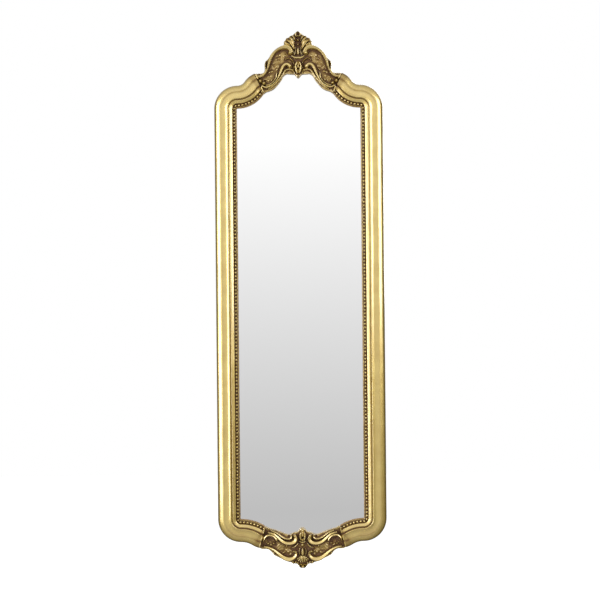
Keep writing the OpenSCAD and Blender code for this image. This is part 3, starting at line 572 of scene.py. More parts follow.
# collar where the rail ends
FOOT_COLLARS = [
    ([(91.4, -4), (93, -10), (95, -16)], [3.4, 5.2, 4.4], 10.4, rounded),
    ([(97.6, -22), (99, -28), (100.6, -34)], [4, 6.6, 5], 13.4, rounded),
    ([(101.6, -38), (102.8, -43), (104, -49)], [4, 6, 4.4], 13.0, rounded),
]
FOOT_STRANDS = FOOT_COLLARS + [
    # large upper scroll
    ([(18.6, -22.6), (16.6, -30), (19.6, -37), (26.5, -40.2), (35, -40.8), (44, -38.4), (51, -34),
      (56.8, -28.3), (62.3, -22.7), (68, -18.5), (75.5, -15.6), (83, -14)],
     [8, 9.6, 10, 9.2, 8.8, 8.6, 8.2, 7.8, 7, 6, 5, 3.6], 13.0, tipped),
    # thin scroll above it
    ([(29.4, -20.8), (26.8, -24.4), (29.4, -28.7), (36, -30), (42.5, -28.6), (49, -25), (55.5, -20.3),
      (62, -15.8), (69, -12.5), (76, -10)],
     [3.6, 4.6, 4.6, 4.4, 4.2, 4.2, 4, 3.8, 3.4, 2.4], 11.0, tipped),
    # arch round the pit, with its spur
    ([(61.6, -35.5), (63.2, -30.4), (66.8, -26), (71.4, -22.6), (77, -20.6), (83, -20.8), (88.6, -23.4),
      (92.6, -28), (94.6, -34.5)],
     [4, 5.2, 5.6, 5.4, 5.4, 5.4, 5.2, 4.6, 3], 11.0, tipped),
    # long lower scroll
    ([(21.8, -60.6), (17.6, -61.8), (16.2, -67), (19, -73), (25, -77.5), (33, -79.2), (41, -77.6),
      (49, -73.2), (55.6, -67.8), (62, -62.2), (68.6, -57), (76, -52.8), (84, -49.8), (93, -48)],
     [5.4, 6, 6.6, 8, 10, 11.6, 11.4, 10, 8.6, 7.4, 6.4, 5.8, 5.4, 4], 12.5, tipped),
    # small leaf between the scrolls
    ([(11, -40.6), (14.8, -46), (19.6, -50), (26, -51.2)], [2, 3.4, 3.4, 2], 8.0, rounded),
    # husk: petals and middle
    ([(3.4, -15), (5.4, -20), (5.4, -27), (3.4, -34)], [3.4, 6, 5.6, 3], 12.0, rounded),
    ([(0, -15), (0, -21), (0, -28), (0, -36)], [6, 7, 5, 3.4], 8.5, rounded),
    ([(7.5, -35.5), (4, -38.5), (0, -40)], [1.6, 3.2, 3.6], 6.0, rounded),
    # teardrop
    ([(0, -52.5), (0, -57), (0, -62), (0, -66), (0, -69)], [2.4, 6, 8.6, 8, 5], 11.0, rounded),
    ([(7.2, -54), (8.4, -62), (7, -70)], [1.6, 2.4, 1.6], 3.5, rounded),
    # scallops along the lower edge
    ([(24, -85.6), (23.4, -88.4)], [4.4, 4.4], 6.5, rounded),
    ([(17.4, -86.6), (17, -89)], [4.4, 4.4], 6.5, rounded),
    ([(12, -88.8), (11.4, -92)], [3.8, 3.8], 6.0, rounded),
    ([(69.4, -63.6), (70.4, -67.2)], [4.4, 4], 4.5, rounded),
] + [
    # ribbed fan
    ([(r * math.sin(math.radians(turn)), -70 - r * math.cos(math.radians(turn))) for r in (3, 9, 17)],
     [1.2, 2.8, 3.6], 3.6, rounded) for turn in range(-54, 55, 18)
]
FOOT_BOSSES = [
    ((0, -10.4), (6.2, 5.6), 9.5), ((18.4, -24), (5.0, 5.4), 13.0), ((22.2, -61), (3.4, 3.2), 12.0),
    ((69.5, -41), (3.2, 3.0), 8.5), ((83, -41.5), (3.4, 3.0), 8.5), ((97.5, -25), (4.6, 5.2), 10.5),
    ((5.0, -95.4), (5.2, 5.2), 10.0), ((0, -98.4), (4.0, 3.4), 8.5), ((0, -45.8), (4.2, 3.2), 4.5),
]

# The glass's edge behind each carving runs from the centre line out to the rebate at the rail's end. Cuts
# are pits and grooves: place, size, and floor from the ground
CARVINGS = {
    "crest": {
        "bend": UPPER, "origin_z": CREST_Z, "ground": 20.0, "seed": 11, "plain_above": 78,
        "inner": CREST_INNER, "outer": CREST_OUTER,
        "glass": [(0, 57), (30, 57), (40, 51), (50, 35), (60, 22), (74, 14)],
        "strands": CREST_STRANDS, "collars": CREST_STRANDS[-2:], "bosses": CREST_BOSSES,
        "lobes": [
            (34, 92), (43, 95), (52, 93), (45, 86), (54, 84), (37, 84), (59, 77), (49, 77), (41, 76),
            (54, 69), (63, 69), (47, 68), (58, 61), (50, 60), (66, 60), (62, 52), (69, 50), (74, 43),
            (66, 43), (71, 35), (78, 34), (64, 34),
        ],
        "sunk_ground": [],
        "cuts": [
            (groove, [(77, 60), (75.6, 68), (74.2, 76)], [1.4, 2.4, 1.6], -5),
            (groove, [(49.4, 44), (51.6, 38), (55.8, 31.4), (61.4, 25.4), (68.4, 20.2)],
             [1.2, 2, 2.2, 2, 1.2], 2),
            (groove, [(34.5, 60), (29.5, 64), (24.5, 62.8)], [2, 3.4, 2], -2),
            (groove, [(24.5, 97), (27.5, 102.6), (35, 104.6)], [1.6, 2.4, 1.4], -2),
            (pit, (0.8, 59.6), (2.2, 2.6), 1), (pit, (4.0, 66.5), (1.1, 2.2), 4),
            (pit, (80.5, 32), (2.6, 3), -4),
        ],
        "pairs": ("crest_scroll", "crest_inner_scroll", "crest_collar", "crest_leaf"),
        "singles": ["crest_shell", "crest_bead_drop", "crest_pendant"],
    },
    "foot": {
        "bend": LOWER, "origin_z": FOOT_Z, "ground": 19.0, "seed": 31, "plain_above": math.inf,
        "inner": FOOT_INNER, "outer": FOOT_OUTER,
        "glass": [(0, -26), (52, -26), (70, -19)],
        "strands": FOOT_STRANDS, "collars": FOOT_COLLARS, "bosses": FOOT_BOSSES,
        "lobes": [
            (30, -47), (38, -49), (46, -47), (55, -42), (48, -55), (36, -56), (60, -48), (56, -54), (66, -52),
            (28, -59), (44, -62), (34, -64), (52, -61), (27, -68), (76, -45), (86, -40), (78, -36),
        ],
        "sunk_ground": [(pit, (79, -29.6), (10.5, 8), -4)],
        "cuts": [
            (pit, (0.6, -27.4), (1.7, 3.2), 1), (pit, (4.8, -95.8), (2.4, 2.6), -3),
            (pit, (32.6, -24.4), (3.6, 3.0), -3),
            (groove, [(23.4, -27), (26.8, -33.3), (34.5, -35.2), (42.5, -33.4), (50, -28.6), (57.5, -22.6),
                      (65, -17.4)], [1.8, 2.6, 2.6, 2.4, 2.2, 2, 1.2], 1),
            (groove, [(60, -37.5), (66, -35), (69, -30)], [2, 3, 2], -3),
        ],
        "pairs": ("foot_scroll", "foot_thin_scroll", "foot_lower_scroll", "foot_collar"),
        "singles": ["foot_bud", "foot_drop", "foot_finial"],
    },
}


def rail_end(bend):
    """The two corners where the rail's end meets the carving, outer side last, and the ways across the rail
    and back along it, in the carving's own frame"""
    flip = np.array([1, bend["up"]])
    ends = np.array([bent_line(bend, RAIL_W)[-1], bent_line(bend, 0)[-1]])
    ends[:, 1] -= ends[0, 1]
    tilt = math.radians(bend["tilt"])
    across = np.array([math.sin(tilt), math.cos(tilt)])
    back = np.array([math.cos(tilt), -math.sin(tilt)])
    return ends * flip, across * flip, back * flip


def sunk_in_rail(points, height, collars, bend):
    """The height, kept under the rail's face beyond the seam, except where a collar stands on it"""
    ends, across, back = rail_end(bend)
    top = rail_section()[0][3:-5]
    rel = points - ends[0]
    face = np.interp(RAIL_W - rel @ across, top[:, 0], top[:, 1])
    cover, seam = 1.5, 0.3
    under = np.minimum(height, face - cover)
    return np.where((rel @ back > seam) & (height > -np.inf), np.maximum(under, collars), height)


def outline_of(its):
    """Right half of a carving's outline, which laps over the rail, mostly sunk in it"""
    ends, across, back = rail_end(its["bend"])
    over, in_from_edge = LAP * back, 1.2 * across
    lap = [ends[0], ends[0] + over + in_from_edge, ends[1] + over - in_from_edge, ends[1]]
    return np.vstack([spline(its["inner"]), lap, spline(its["outer"])])


def both_halves(outline):
    """The whole outline, from its right half"""
    return np.vstack([outline, (outline * [-1, 1])[::-1][1:-1]])


def carved(points, ground, strands, bosses, low):
    """The ground with every strand and boss standing on it"""
    for path, widths, rise, shape in strands:
        ground = np.maximum(ground, strand(points, path, widths, low, rise, shape))
    for centre, radii, rise in bosses:
        ground = np.maximum(ground, boss(points, centre, radii, low, rise))
    return ground


def cut_into(height, points, cuts, low):
    """The height with every pit and groove cut into it"""
    for tool, place, size, floor in cuts:
        height = tool(height, points, place, size, low + floor)
    return height


def height_of(points, its):
    """Height of a carving above the frame's back"""
    low, bed, lobe_rise = its["ground"], its["ground"] - 1.8, 2.6
    h = rocaille(points, low - 1.2, its["seed"])
    h = np.maximum(h, lobes(points, its["lobes"], bed, lobe_rise, its["seed"] + 10))
    # plain ground along the centre line, 9 mm to each side, above a height
    middle = np.exp(-np.clip(points[:, 0] - 9, 0, None) ** 2 / 18) * (points[:, 1] > its["plain_above"])
    h = h * (1 - middle) + bed * middle
    h = cut_into(h, points, its["sunk_ground"], low)
    h = carved(points, h, its["strands"], its["bosses"], low)
    h = cut_into(h, points, its["cuts"], low)
    collars = carved(points, np.full(len(points), -np.inf), its["collars"], [], low)
    return sunk_in_rail(points, h, collars, its["bend"])


def inside_distance(points, outline):
    """Distance to the closed outline, positive inside"""
    closed = np.vstack([outline, outline[:1]])
    gap, _, _ = nearest(points, closed)
    x, y = points[:, 0], points[:, 1]
    inside = np.zeros(len(points), bool)
    for (x0, y0), (x1, y1) in zip(closed[:-1], closed[1:]):
        if y0 == y1:
            continue
        crosses = (y0 > y) != (y1 > y)
        inside ^= crosses & (x < (x1 - x0) * (y - y0) / (y1 - y0) + x0)
    return np.where(inside, gap, -gap)


def clipped_grid(outline, pitch):
    """Flat net of squares over an outline's right half, from the centre line to a smooth cut along it.
    Gives the points, the faces and the pairs of points along the cut."""
    top = np.ceil((outline.max(0) + 2 * pitch) / pitch).astype(int)
    bottom = np.floor((outline.min(0) - 2 * pitch) / pitch).astype(int)
    us = np.arange(0, top[0] + 1) * pitch
    vs = np.arange(bottom[1], top[1] + 1) * pitch
    grid = np.stack(np.meshgrid(us, vs, indexing="ij"), -1)
    field = inside_distance(grid.reshape(-1, 2), both_halves(outline)).reshape(len(us), len(vs))
    # no slivers: a cut that all but touches a corner of the net leaves it inside
    field[np.abs(field) < 0.12 * pitch] = 0.12 * pitch
    points, known, faces, cut = [], {}, [], []

    def point(key, at):
        if key not in known:
            known[key] = len(points)
            points.append(at)
        return known[key]

    def crossing(a, b):
        a, b = min(a, b), max(a, b)
        t = field[a] / (field[a] - field[b])
        return point((a, b), grid[a] * (1 - t) + grid[b] * t)

    for i in range(len(us) - 1):
        for j in range(len(vs) - 1):
            around = ((i, j), (i + 1, j), (i + 1, j + 1), (i, j + 1))
            face = []
            for a, b in zip(around, around[1:] + around[:1]):
                if field[a] > 0:
                    face.append((False, point(a, grid[a])))
                if (field[a] > 0) != (field[b] > 0):
                    face.append((True, crossing(a, b)))
            if face:
                faces.append(tuple(index for _, index in face))
            for (on_cut, index), (next_on_cut, next_index) in zip(face, face[1:] + face[:1]):
                if on_cut and next_on_cut:
                    cut.append((index, next_index))
    return np.array(points), faces, cut


def loop_of(cut):
    """The cut's point numbers in order, from one end to the other"""
    onward = {a: b for a, b in cut}
    start = next(a for a in onward if a not in set(onward.values()))
    loop = [start]
    while loop[-1] in onward:
        loop.append(onward[loop[-1]])
    return loop


def blurred(grid, radius):
    """Gaussian blur of a grid, its radius in cells"""
    reach = int(math.ceil(radius * 3))
    weights = np.exp(-0.5 * (np.arange(-reach, reach + 1) / radius) ** 2)
    weights /= weights.sum()
    for axis in (0, 1):
        grid = np.apply_along_axis(lambda row: np.convolve(np.pad(row, reach, mode="edge"), weights, "valid"),
                                   axis, grid)
    return grid


def hollows(points, height_at, whole, pitch):
    """How deep each point lies below what is around it, as wax from 0 to 1, with painted shade on steep
    flanks, over the right half
    """
    margin = 12
    us = np.arange(-margin, points[:, 0].max() + margin, pitch)
    vs = np.arange(points[:, 1].min() - margin, points[:, 1].max() + margin, pitch)
    grid = np.stack(np.meshgrid(us, vs, indexing="ij"), -1).reshape(-1, 2)
    heights = height_at(np.column_stack([np.abs(grid[:, 0]), grid[:, 1]]))
    # past the carving's edge there is only the rail's side or the wall
    heights[inside_distance(grid, whole) < -1.0] = 8.0
    heights = heights.reshape(len(us), len(vs))
    # lower than its surroundings within 1.3 mm and 4.2 mm, which is wax, or on a steep flank, which is
    # painted shade
    near = blurred(heights, 1.3 / pitch) - heights
    wide = blurred(heights, 4.2 / pitch) - heights
    steep = np.hypot(*np.gradient(blurred(heights, 0.9 / pitch), pitch))
    depth = np.maximum(near * 0.24 + wide * 0.17, np.clip((steep - 1.7) / 2.6, 0, 1) * 0.6)
    i = np.clip((points[:, 0] - us[0]) / pitch, 0, len(us) - 2)
    j = np.clip((points[:, 1] - vs[0]) / pitch, 0, len(vs) - 2)
    a, b = i.astype(int), j.astype(int)
    s, t = i - a, j - b
    return (depth[a, b] * (1 - s) * (1 - t) + depth[a + 1, b] * s * (1 - t)
            + depth[a, b + 1] * (1 - s) * t + depth[a + 1, b + 1] * s * t)


def carving(name, its, pitch):
    """Relief over both halves of an outline: carved front, rounded edge, straight wall and flat back.
    The wax attribute is 1 in the hollows and 0 on what stands proud, and on steep flanks it is painted shade."""
    outline = outline_of(its)
    whole = both_halves(outline)
    points, faces, cut = clipped_grid(outline, pitch)

    def rounded_off(at):
        share = np.clip(inside_distance(at, whole) / EDGE_ROLL, 0, 1)
        ceiling = EDGE_H + (TALLEST_H - EDGE_H) * np.sqrt(np.clip(1 - (1 - share) ** 2, 0, 1))
        return np.minimum(height_of(at, its), ceiling)

    heights = rounded_off(points)
    # depth holds wax in the hollows and painted shade on steep flanks
    depth = hollows(points, rounded_off, whole, 0.8)
    wax = np.clip(0.06 + depth, 0, 1)
    # more on the ground than on what stands 2.8 mm over it, and some round the rolled edge
    wax = np.maximum(wax, np.clip((its["ground"] + 2.8 - heights) / 5.0, 0, 1) * 0.7 + depth * 0.55)
    wax = np.maximum(wax, np.clip((EDGE_H + 3 - heights) / 3.0, 0, 1) * 0.5)
    # the rolled edge is rubbed back to gold
    wax *= 0.35 + 0.65 * np.clip(inside_distance(points, whole) / 4.5, 0, 1)
    right = np.column_stack([points[:, 0], BACK_Y - heights, its["origin_z"] + points[:, 1]])
    centre = np.abs(points[:, 0]) < 1e-9
    twin = np.arange(len(points))
    twin[~centre] = len(points) + np.arange((~centre).sum())
    shell = list(right) + list(right[~centre] * [-1, 1, 1])
    faces = list(faces) + [tuple(twin[i] for i in reversed(f)) for f in faces]
    loop = loop_of(cut)
    rim = loop + [int(twin[i]) for i in reversed(loop) if not centre[i]]
    start, n = len(shell), len(rim)
    shell += [(shell[i][0], BACK_Y - REBATE_D, shell[i][2]) for i in rim]
    marks = list(wax) + list(wax[~centre]) + [0.5] * n
    for k in range(n):
        m = (k + 1) % n
        faces.append((rim[m], rim[k], start + k, start + m))
    faces += flat_faces(shell, start, n)
    return mesh_of(name, shell, faces, wax=marks, smooth_angle=50)


def flat_faces(points, start, count):
    """Triangles over a flat ring of points, seen along Y"""
    ring = [Vector((points[start + k][0], points[start + k][2], 0)) for k in range(count)]
    return [tuple(start + k for k in triangle) for triangle in tessellate_polygon([ring])]


# ---- Materials ----

def linear(code):
    """Linear colour of an sRGB hex value"""
    parts = [int(code[i:i + 2], 16) / 255 for i in (1, 3, 5)]
    return tuple(p / 12.92 if p <= 0.04045 else ((p + 0.055) / 1.055) ** 2.4 for p in parts)


def start_material(name):
    """Empty material with its tree, output and shader"""
    material = bpy.data.materials.new(name)
    material.use_nodes = True
    tree = material.node_tree
    tree.nodes.clear()
    shader = add_node(tree, "ShaderNodeBsdfPrincipled")
    add_node(tree, "ShaderNodeOutputMaterial", {"Surface": shader.outputs[0]})
    return material, tree, shader


def gilt_leaf(tree, c, along_rail):
    """Gold-toned leaf laid on gesso and sealed with shellac: a warm metal with soft, slightly uneven gloss, a
    clear coat on top, and brown wax where the wax mark lies, which is wax in the hollows and painted shade on
    steep flanks, in creases, on the beads' flanks and at the rails' ends."""
    where = add_node(tree, "ShaderNodeTexCoord").outputs["UV" if along_rail else "Object"]
    # leaf tone drifts over about 40 mm, and mottles over about 5 mm
    drift = add_node(tree, "ShaderNodeTexNoise", {"Vector": where, "Scale": 1 / 0.040, "Detail": 3.0})
    mottle = add_node(tree, "ShaderNodeTexNoise", {"Vector": where, "Scale": 1 / 0.005, "Detail": 2.0})
    tone = add_node(tree, "ShaderNodeMath", {0: drift, 1: 0.7}, operation="MULTIPLY")
    tone = add_node(tree, "ShaderNodeMath", {0: mottle, 1: 0.09, 2: tone}, operation="MULTIPLY_ADD")
    spread = add_node(tree, "ShaderNodeMapRange", {"Value": tone, "From Min": 0.28, "From Max": 0.52})
    shade = add_node(tree, "ShaderNodeMix", {0: spread, 6: c["leaf_deep"], 7: c["leaf"]},
                     data_type="RGBA").outputs[2]
    if along_rail:
        # brushed streaks along the moulding, 1.2 mm wide and some 90 mm long
        long = add_node(tree, "ShaderNodeMapping", {"Vector": where, "Scale": (1 / 0.0012, 1 / 0.09, 1.0)})
        fine = add_node(tree, "ShaderNodeTexNoise", {"Vector": long, "Scale": 1.0, "Detail": 2.0})
        # overlaps of the leaves, one each 80 mm or so, where the bole shows faintly
        way = add_node(tree, "ShaderNodeSeparateXYZ", {0: where}).outputs[1]
        run = add_node(tree, "ShaderNodeMath", {0: drift, 1: 0.006, 2: way}, operation="MULTIPLY_ADD")
        count = add_node(tree, "ShaderNodeMath", {0: run, 1: 0.081}, operation="DIVIDE")
        part = add_node(tree, "ShaderNodeMath", {0: count}, operation="FRACT")
        edge = add_node(tree, "ShaderNodeMapRange", {
            "Value": part, "From Min": 0.0, "From Max": 0.04, "To Min": 1.0, "To Max": 0.0})
        lap = add_node(tree, "ShaderNodeMath", {0: edge, 1: mottle}, operation="MULTIPLY")
        faint = add_node(tree, "ShaderNodeMath", {0: lap, 1: 0.12}, operation="MULTIPLY")
        shade = add_node(tree, "ShaderNodeMix", {0: faint, 6: shade, 7: c["bole"]},
                         data_type="RGBA").outputs[2]
    else:
        fine = add_node(tree, "ShaderNodeTexNoise", {"Vector": where, "Scale": 1 / 0.0018, "Detail": 3.0})
    # the wax mark: wax in the hollows, and painted shade on steep flanks, in creases, on bead flanks and at
    # the rails' ends, and darker low on the frame
    mark = add_node(tree, "ShaderNodeAttribute", attribute_name="wax", attribute_type="GEOMETRY")
    patch = add_node(tree, "ShaderNodeTexNoise", {"Vector": where, "Scale": 1 / 0.008, "Detail": 2.0})
    uneven = add_node(tree, "ShaderNodeMapRange", {
        "Value": patch, "From Min": 0.3, "From Max": 0.7, "To Min": 0.8, "To Max": 1.12})
    wax = add_node(tree, "ShaderNodeMath", {0: mark.outputs["Fac"], 1: uneven}, operation="MULTIPLY",
                   use_clamp=True)
    wax_and_shade_tone = add_node(tree, "ShaderNodeMix", {0: drift, 6: c["wax"], 7: c["wax_olive"]}, data_type="RGBA")
    cover = add_node(tree, "ShaderNodeMath", {0: wax, 1: 1.3}, operation="MULTIPLY", use_clamp=True)
    colour = add_node(tree, "ShaderNodeMix", {0: cover, 6: shade, 7: wax_and_shade_tone.outputs[2]}, data_type="RGBA")
    metal = add_node(tree, "ShaderNodeMapRange", {
        "Value": wax, "From Min": 0.25, "From Max": 0.95, "To Min": 0.7, "To Max": 0.15})
    sealed = add_node(tree, "ShaderNodeMapRange", {
        "Value": wax, "From Min": 0.1, "From Max": 0.6, "To Min": 1.0, "To Max": 0.0})
    worn = add_node(tree, "ShaderNodeMapRange", {"Value": fine, "To Min": 0.29, "To Max": 0.35})
    dull = add_node(tree, "ShaderNodeMath", {0: wax, 1: 0.3, 2: worn}, operation="MULTIPLY_ADD")
    grain = add_node(tree, "ShaderNodeBump", {"Height": fine, "Strength": 0.25, "Distance": 0.00004})
    wavy = add_node(tree, "ShaderNodeBump", {
        "Height": mottle, "Strength": 0.25, "Distance": 0.00008, "Normal": grain})
    return {"Base Color": colour.outputs[2], "Metallic": metal, "Roughness": dull, "Normal": wavy,
            "Coat Weight": sealed, "Coat Roughness": 0.18, "Coat IOR": 2.25}


def sawn_wood(tree, c, by_uv):
    """Planed limewood, left bare: pale, straight-grained, and dull"""
    where = add_node(tree, "ShaderNodeTexCoord").outputs["UV" if by_uv else "Object"]
    across, along = 1 / 0.004, 1 / 0.16
    scale = (across, along, across) if by_uv else (along, across, across)
    coarse = add_node(tree, "ShaderNodeMapping", {"Vector": where, "Scale": scale})
    rings = add_node(tree, "ShaderNodeTexNoise", {
        "Vector": coarse, "Scale": 1.0, "Detail": 4.0, "Roughness": 0.65})
    close = add_node(tree, "ShaderNodeMapping", {"Vector": where, "Scale": tuple(s * 6 for s in scale)})
    pores = add_node(tree, "ShaderNodeTexNoise", {"Vector": close, "Scale": 1.0, "Detail": 2.0})
    both = add_node(tree, "ShaderNodeMath", {0: pores, 1: 0.4, 2: rings}, operation="MULTIPLY_ADD")
    share = add_node(tree, "ShaderNodeMapRange", {"Value": both, "From Min": 0.45, "From Max": 0.95})
    colour = add_node(tree, "ShaderNodeMix", {0: share, 6: c["limewood_dark"], 7: c["limewood"]},
                      data_type="RGBA")
    relief = add_node(tree, "ShaderNodeBump", {"Height": pores, "Strength": 0.5, "Distance": 0.0001})
    return {"Base Color": colour.outputs[2], "Roughness": 0.72, "Normal": relief,
            "Specular IOR Level": 0.3}


def hardboard(tree, c):
    """Hardboard, pressed wet on a wire screen: brown felted fibre with a fine woven print, drawn at 2.4 mm"""
    where = add_node(tree, "ShaderNodeTexCoord").outputs["Object"]
    x, _, z = add_node(tree, "ShaderNodeSeparateXYZ", {0: where}).outputs
    wires = []
    for way in (x, z):
        turns = add_node(tree, "ShaderNodeMath", {0: way, 1: 2 * math.pi / 0.0024}, operation="MULTIPLY")
        wires.append(add_node(tree, "ShaderNodeMath", {0: turns}, operation="SINE"))
    weave = add_node(tree, "ShaderNodeMath", {0: wires[0], 1: wires[1]}, operation="MULTIPLY")
    fibre = add_node(tree, "ShaderNodeTexNoise", {"Vector": where, "Scale": 1 / 0.0025, "Detail": 5.0})
    cloud = add_node(tree, "ShaderNodeTexNoise", {"Vector": where, "Scale": 1 / 0.09, "Detail": 3.0})
    both = add_node(tree, "ShaderNodeMath", {0: cloud, 1: 0.7, 2: fibre}, operation="MULTIPLY_ADD")
    share = add_node(tree, "ShaderNodeMapRange", {"Value": both, "From Min": 0.55, "From Max": 1.1})
    colour = add_node(tree, "ShaderNodeMix", {0: share, 6: c["board_dark"], 7: c["board"]}, data_type="RGBA")
    print_ = add_node(tree, "ShaderNodeMath", {0: weave, 1: 0.5, 2: fibre}, operation="MULTIPLY_ADD")
    relief = add_node(tree, "ShaderNodeBump", {"Height": print_, "Strength": 0.7, "Distance": 0.0002})
    return {"Base Color": colour.outputs[2], "Roughness": 0.8, "Normal": relief, "Specular IOR Level": 0.3}


def silvered_glass(tree, c):
    """Float glass, silvered behind and polished: a clear mirror on its face, green at its edges"""
    where = add_node(tree, "ShaderNodeTexCoord").outputs["Object"]
    normal = add_node(tree, "ShaderNodeNewGeometry").outputs["True Normal"]
    facing = add_node(tree, "ShaderNodeSeparateXYZ", {0: normal}).outputs[1]
    flat = add_node(tree, "ShaderNodeMath", {0: facing}, operation="ABSOLUTE")
    face = add_node(tree, "ShaderNodeMapRange", {"Value": flat, "From Min": 0.5, "From Max": 0.9})
    colour = add_node(tree, "ShaderNodeMix", {0: face, 6: c["glass_edge"], 7: c["silver"]}, data_type="RGBA")
    haze = add_node(tree, "ShaderNodeTexNoise", {"Vector": where, "Scale": 1 / 0.12, "Detail": 2.0})
    film = add_node(tree, "ShaderNodeMapRange", {"Value": haze, "To Min": 0.0, "To Max": 0.012})
    return {"Base Color": colour.outputs[2], "Metallic": face, "Roughness": film}


def plain_metal(tree, c, key, roughness, grain):
    """Sheet or wire metal as it comes from the press: patchy tone and a fine directionless grain"""
    where = add_node(tree, "ShaderNodeTexCoord").outputs["Object"]
    patches = add_node(tree, "ShaderNodeTexNoise", {"Vector": where, "Scale": 1 / grain, "Detail": 3.0})
    share = add_node(tree, "ShaderNodeMapRange", {"Value": patches, "From Min": 0.35, "From Max": 0.65})
    colour = add_node(tree, "ShaderNodeMix", {0: share, 6: c[key + "_dark"], 7: c[key]}, data_type="RGBA")
    fine = add_node(tree, "ShaderNodeTexNoise", {"Vector": where, "Scale": 1 / 0.0006, "Detail": 2.0})
    matt = add_node(tree, "ShaderNodeMapRange", {
        "Value": fine, "To Min": roughness - 0.07, "To Max": roughness + 0.09})
    relief = add_node(tree, "ShaderNodeBump", {"Height": fine, "Strength": 0.3, "Distance": 0.00003})
    return {"Base Color": colour.outputs[2], "Metallic": 1.0, "Roughness": matt, "Normal": relief}


def grainy(tree, c, key, roughness, grain, depth):
    """Rubber or cork: a dull body with grains of the given size"""
    where = add_node(tree, "ShaderNodeTexCoord").outputs["Object"]
    cells = add_node(tree, "ShaderNodeTexVoronoi", {"Vector": where, "Scale": 1 / grain})
    spots = add_node(tree, "ShaderNodeTexNoise", {"Vector": where, "Scale": 0.5 / grain, "Detail": 3.0})
    both = add_node(tree, "ShaderNodeMath", {0: cells, 1: 0.6, 2: spots}, operation="MULTIPLY_ADD")
    share = add_node(tree, "ShaderNodeMapRange", {"Value": both, "From Min": 0.4, "From Max": 1.1})
    colour = add_node(tree, "ShaderNodeMix", {0: share, 6: c[key + "_dark"], 7: c[key]}, data_type="RGBA")
    relief = add_node(tree, "ShaderNodeBump", {"Height": cells, "Strength": 0.5, "Distance": depth})
    return {"Base Color": colour.outputs[2], "Roughness": roughness, "Normal": relief}


# Each finish: what gives its shader's inputs, the material's name, and what else the maker is told
FINISHES = {
    "rail_gilt": (gilt_leaf, "leaf_on_gesso_moulding", True),
    "carved_gilt": (gilt_leaf, "leaf_on_gesso_carving", False),
    "rail_wood": (sawn_wood, "planed_limewood_rail", True),
    "block_wood": (sawn_wood, "planed_limewood_block", False),
    "beech": (sawn_wood, "turned_beech", False),
    "board": (hardboard, "pressed_hardboard"),
    "glass": (silvered_glass, "silvered_float_glass"),
    "zinc": (plain_metal, "zinc_plated_steel", "zinc", 0.36, 0.006),
    "brass": (plain_metal, "stamped_sheet_brass", "brass", 0.3, 0.008),
    "rubber": (grainy, "moulded_rubber", "rubber", 0.75, 0.0012, 0.00006),
    "cork": (grainy, "pressed_cork", "cork", 0.85, 0.0025, 0.0003),
}
MATERIALS = {}


def own_keys(group):
    """The settings of a property group"""
    return [key for key in group.bl_rna.properties.keys() if key not in ("rna_type", "name")]


def finish(key):
    """The material of a finish, made when it is first asked for"""
    if key not in MATERIALS:
        maker, name, *told = FINISHES[key]
        group = bpy.context.scene.pier_mirror_colours
        colours = {k: (*getattr(group, k), 1) for k in own_keys(group)}
        MATERIALS[key], tree, shader = start_material(name)
        fill(tree, shader, maker(tree, colours, *told))
    return MATERIALS[key]


def dress(node, key):
    """Give a CAD node its finish"""
    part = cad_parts[node]
    part.data.materials.clear()
    part.data.materials.append(finish(key))


# ---- Settings ----

def colour_property(name, description, code):
    return bpy.props.FloatVectorProperty(name=name, description=description, subtype="COLOR", size=3,
                                         min=0.0, max=1.0, default=linear(code))


class PierMirrorColours(bpy.types.PropertyGroup):
    """Colours of the finishes"""
    leaf: colour_property("Leaf", "Colour of the gold-toned leaf where it is brightest", "#DFC25E")
    leaf_deep: colour_property("Deep leaf", "Colour of the leaf where it is warmest", "#D1B04C")
    bole: colour_property("Bole", "Warm ground that shows at the laps of the leaf", "#A8793F")
    # wax and olive wax also colour the painted shade that the wax mark lays on steep flanks, creases, bead
    # flanks and rail ends
    wax: colour_property("Wax", "Brown wax in the hollows", "#633F22")
    wax_olive: colour_property("Olive wax", "Greener wax in the hollows", "#735432")
    limewood: colour_property("Limewood", "Bare wood at the back, pale part", "#CFAE82")
    limewood_dark: colour_property("Limewood grain", "Bare wood at the back, dark part", "#A67F52")
    board: colour_property("Hardboard", "Backing board, pale part", "#8F6B45")
    board_dark: colour_property("Hardboard fibre", "Backing board, dark part", "#6A4A2C")
    silver: colour_property("Silvering", "Tint of the mirror", "#FBFBFB")
    glass_edge: colour_property("Glass edge", "Green of the glass at its edges", "#5E8C7A")
    zinc: colour_property("Zinc", "Plated steel, pale part", "#C8CCD0")
    zinc_dark: colour_property("Zinc patches", "Plated steel, dark part", "#A3A8AE")
    brass: colour_property("Brass", "Stamped brass, pale part", "#D9B45E")
    brass_dark: colour_property("Brass patches", "Stamped brass, dark part", "#B48A3C")
    rubber: colour_property("Rubber", "Bumpers, pale part", "#3A3A3A")
    rubber_dark: colour_property("Rubber grain", "Bumpers, dark part", "#1E1E1E")
    cork: colour_property("Cork", "Setting blocks, pale part", "#C79A68")
    cork_dark: colour_property("Cork grain", "Setting blocks, dark part", "#7E5631")


class PierMirrorSizes(bpy.types.PropertyGroup):
    """Sizes of what is laid on the frame"""
    bead_diameter: bpy.props.FloatProperty(name="Bead diameter", description="Diameter of one bead",
                                           default=0.0064, min=0.005, max=0.0075, unit="LENGTH")
    bead_pitch: bpy.props.FloatProperty(name="Bead pitch", description="Distance from bead to bead",
                                        default=0.0084, min=0.007, max=0.01, unit="LENGTH")
    bead_variation: bpy.props.FloatProperty(
        name="Bead variation", description="How much smaller a bead may be", default=0.05, min=0.0, max=0.2,
        subtype="FACTOR")
    wander: bpy.props.FloatProperty(name="Wander", description="Unevenness of the hand-laid gesso",
                                    default=0.00018, min=0.0, max=0.001, unit="LENGTH")
    carving_pitch: bpy.props.FloatProperty(name="Carving pitch", description="Fineness of the carved relief",
                                           default=0.0006, min=0.0005, max=0.002, unit="LENGTH")


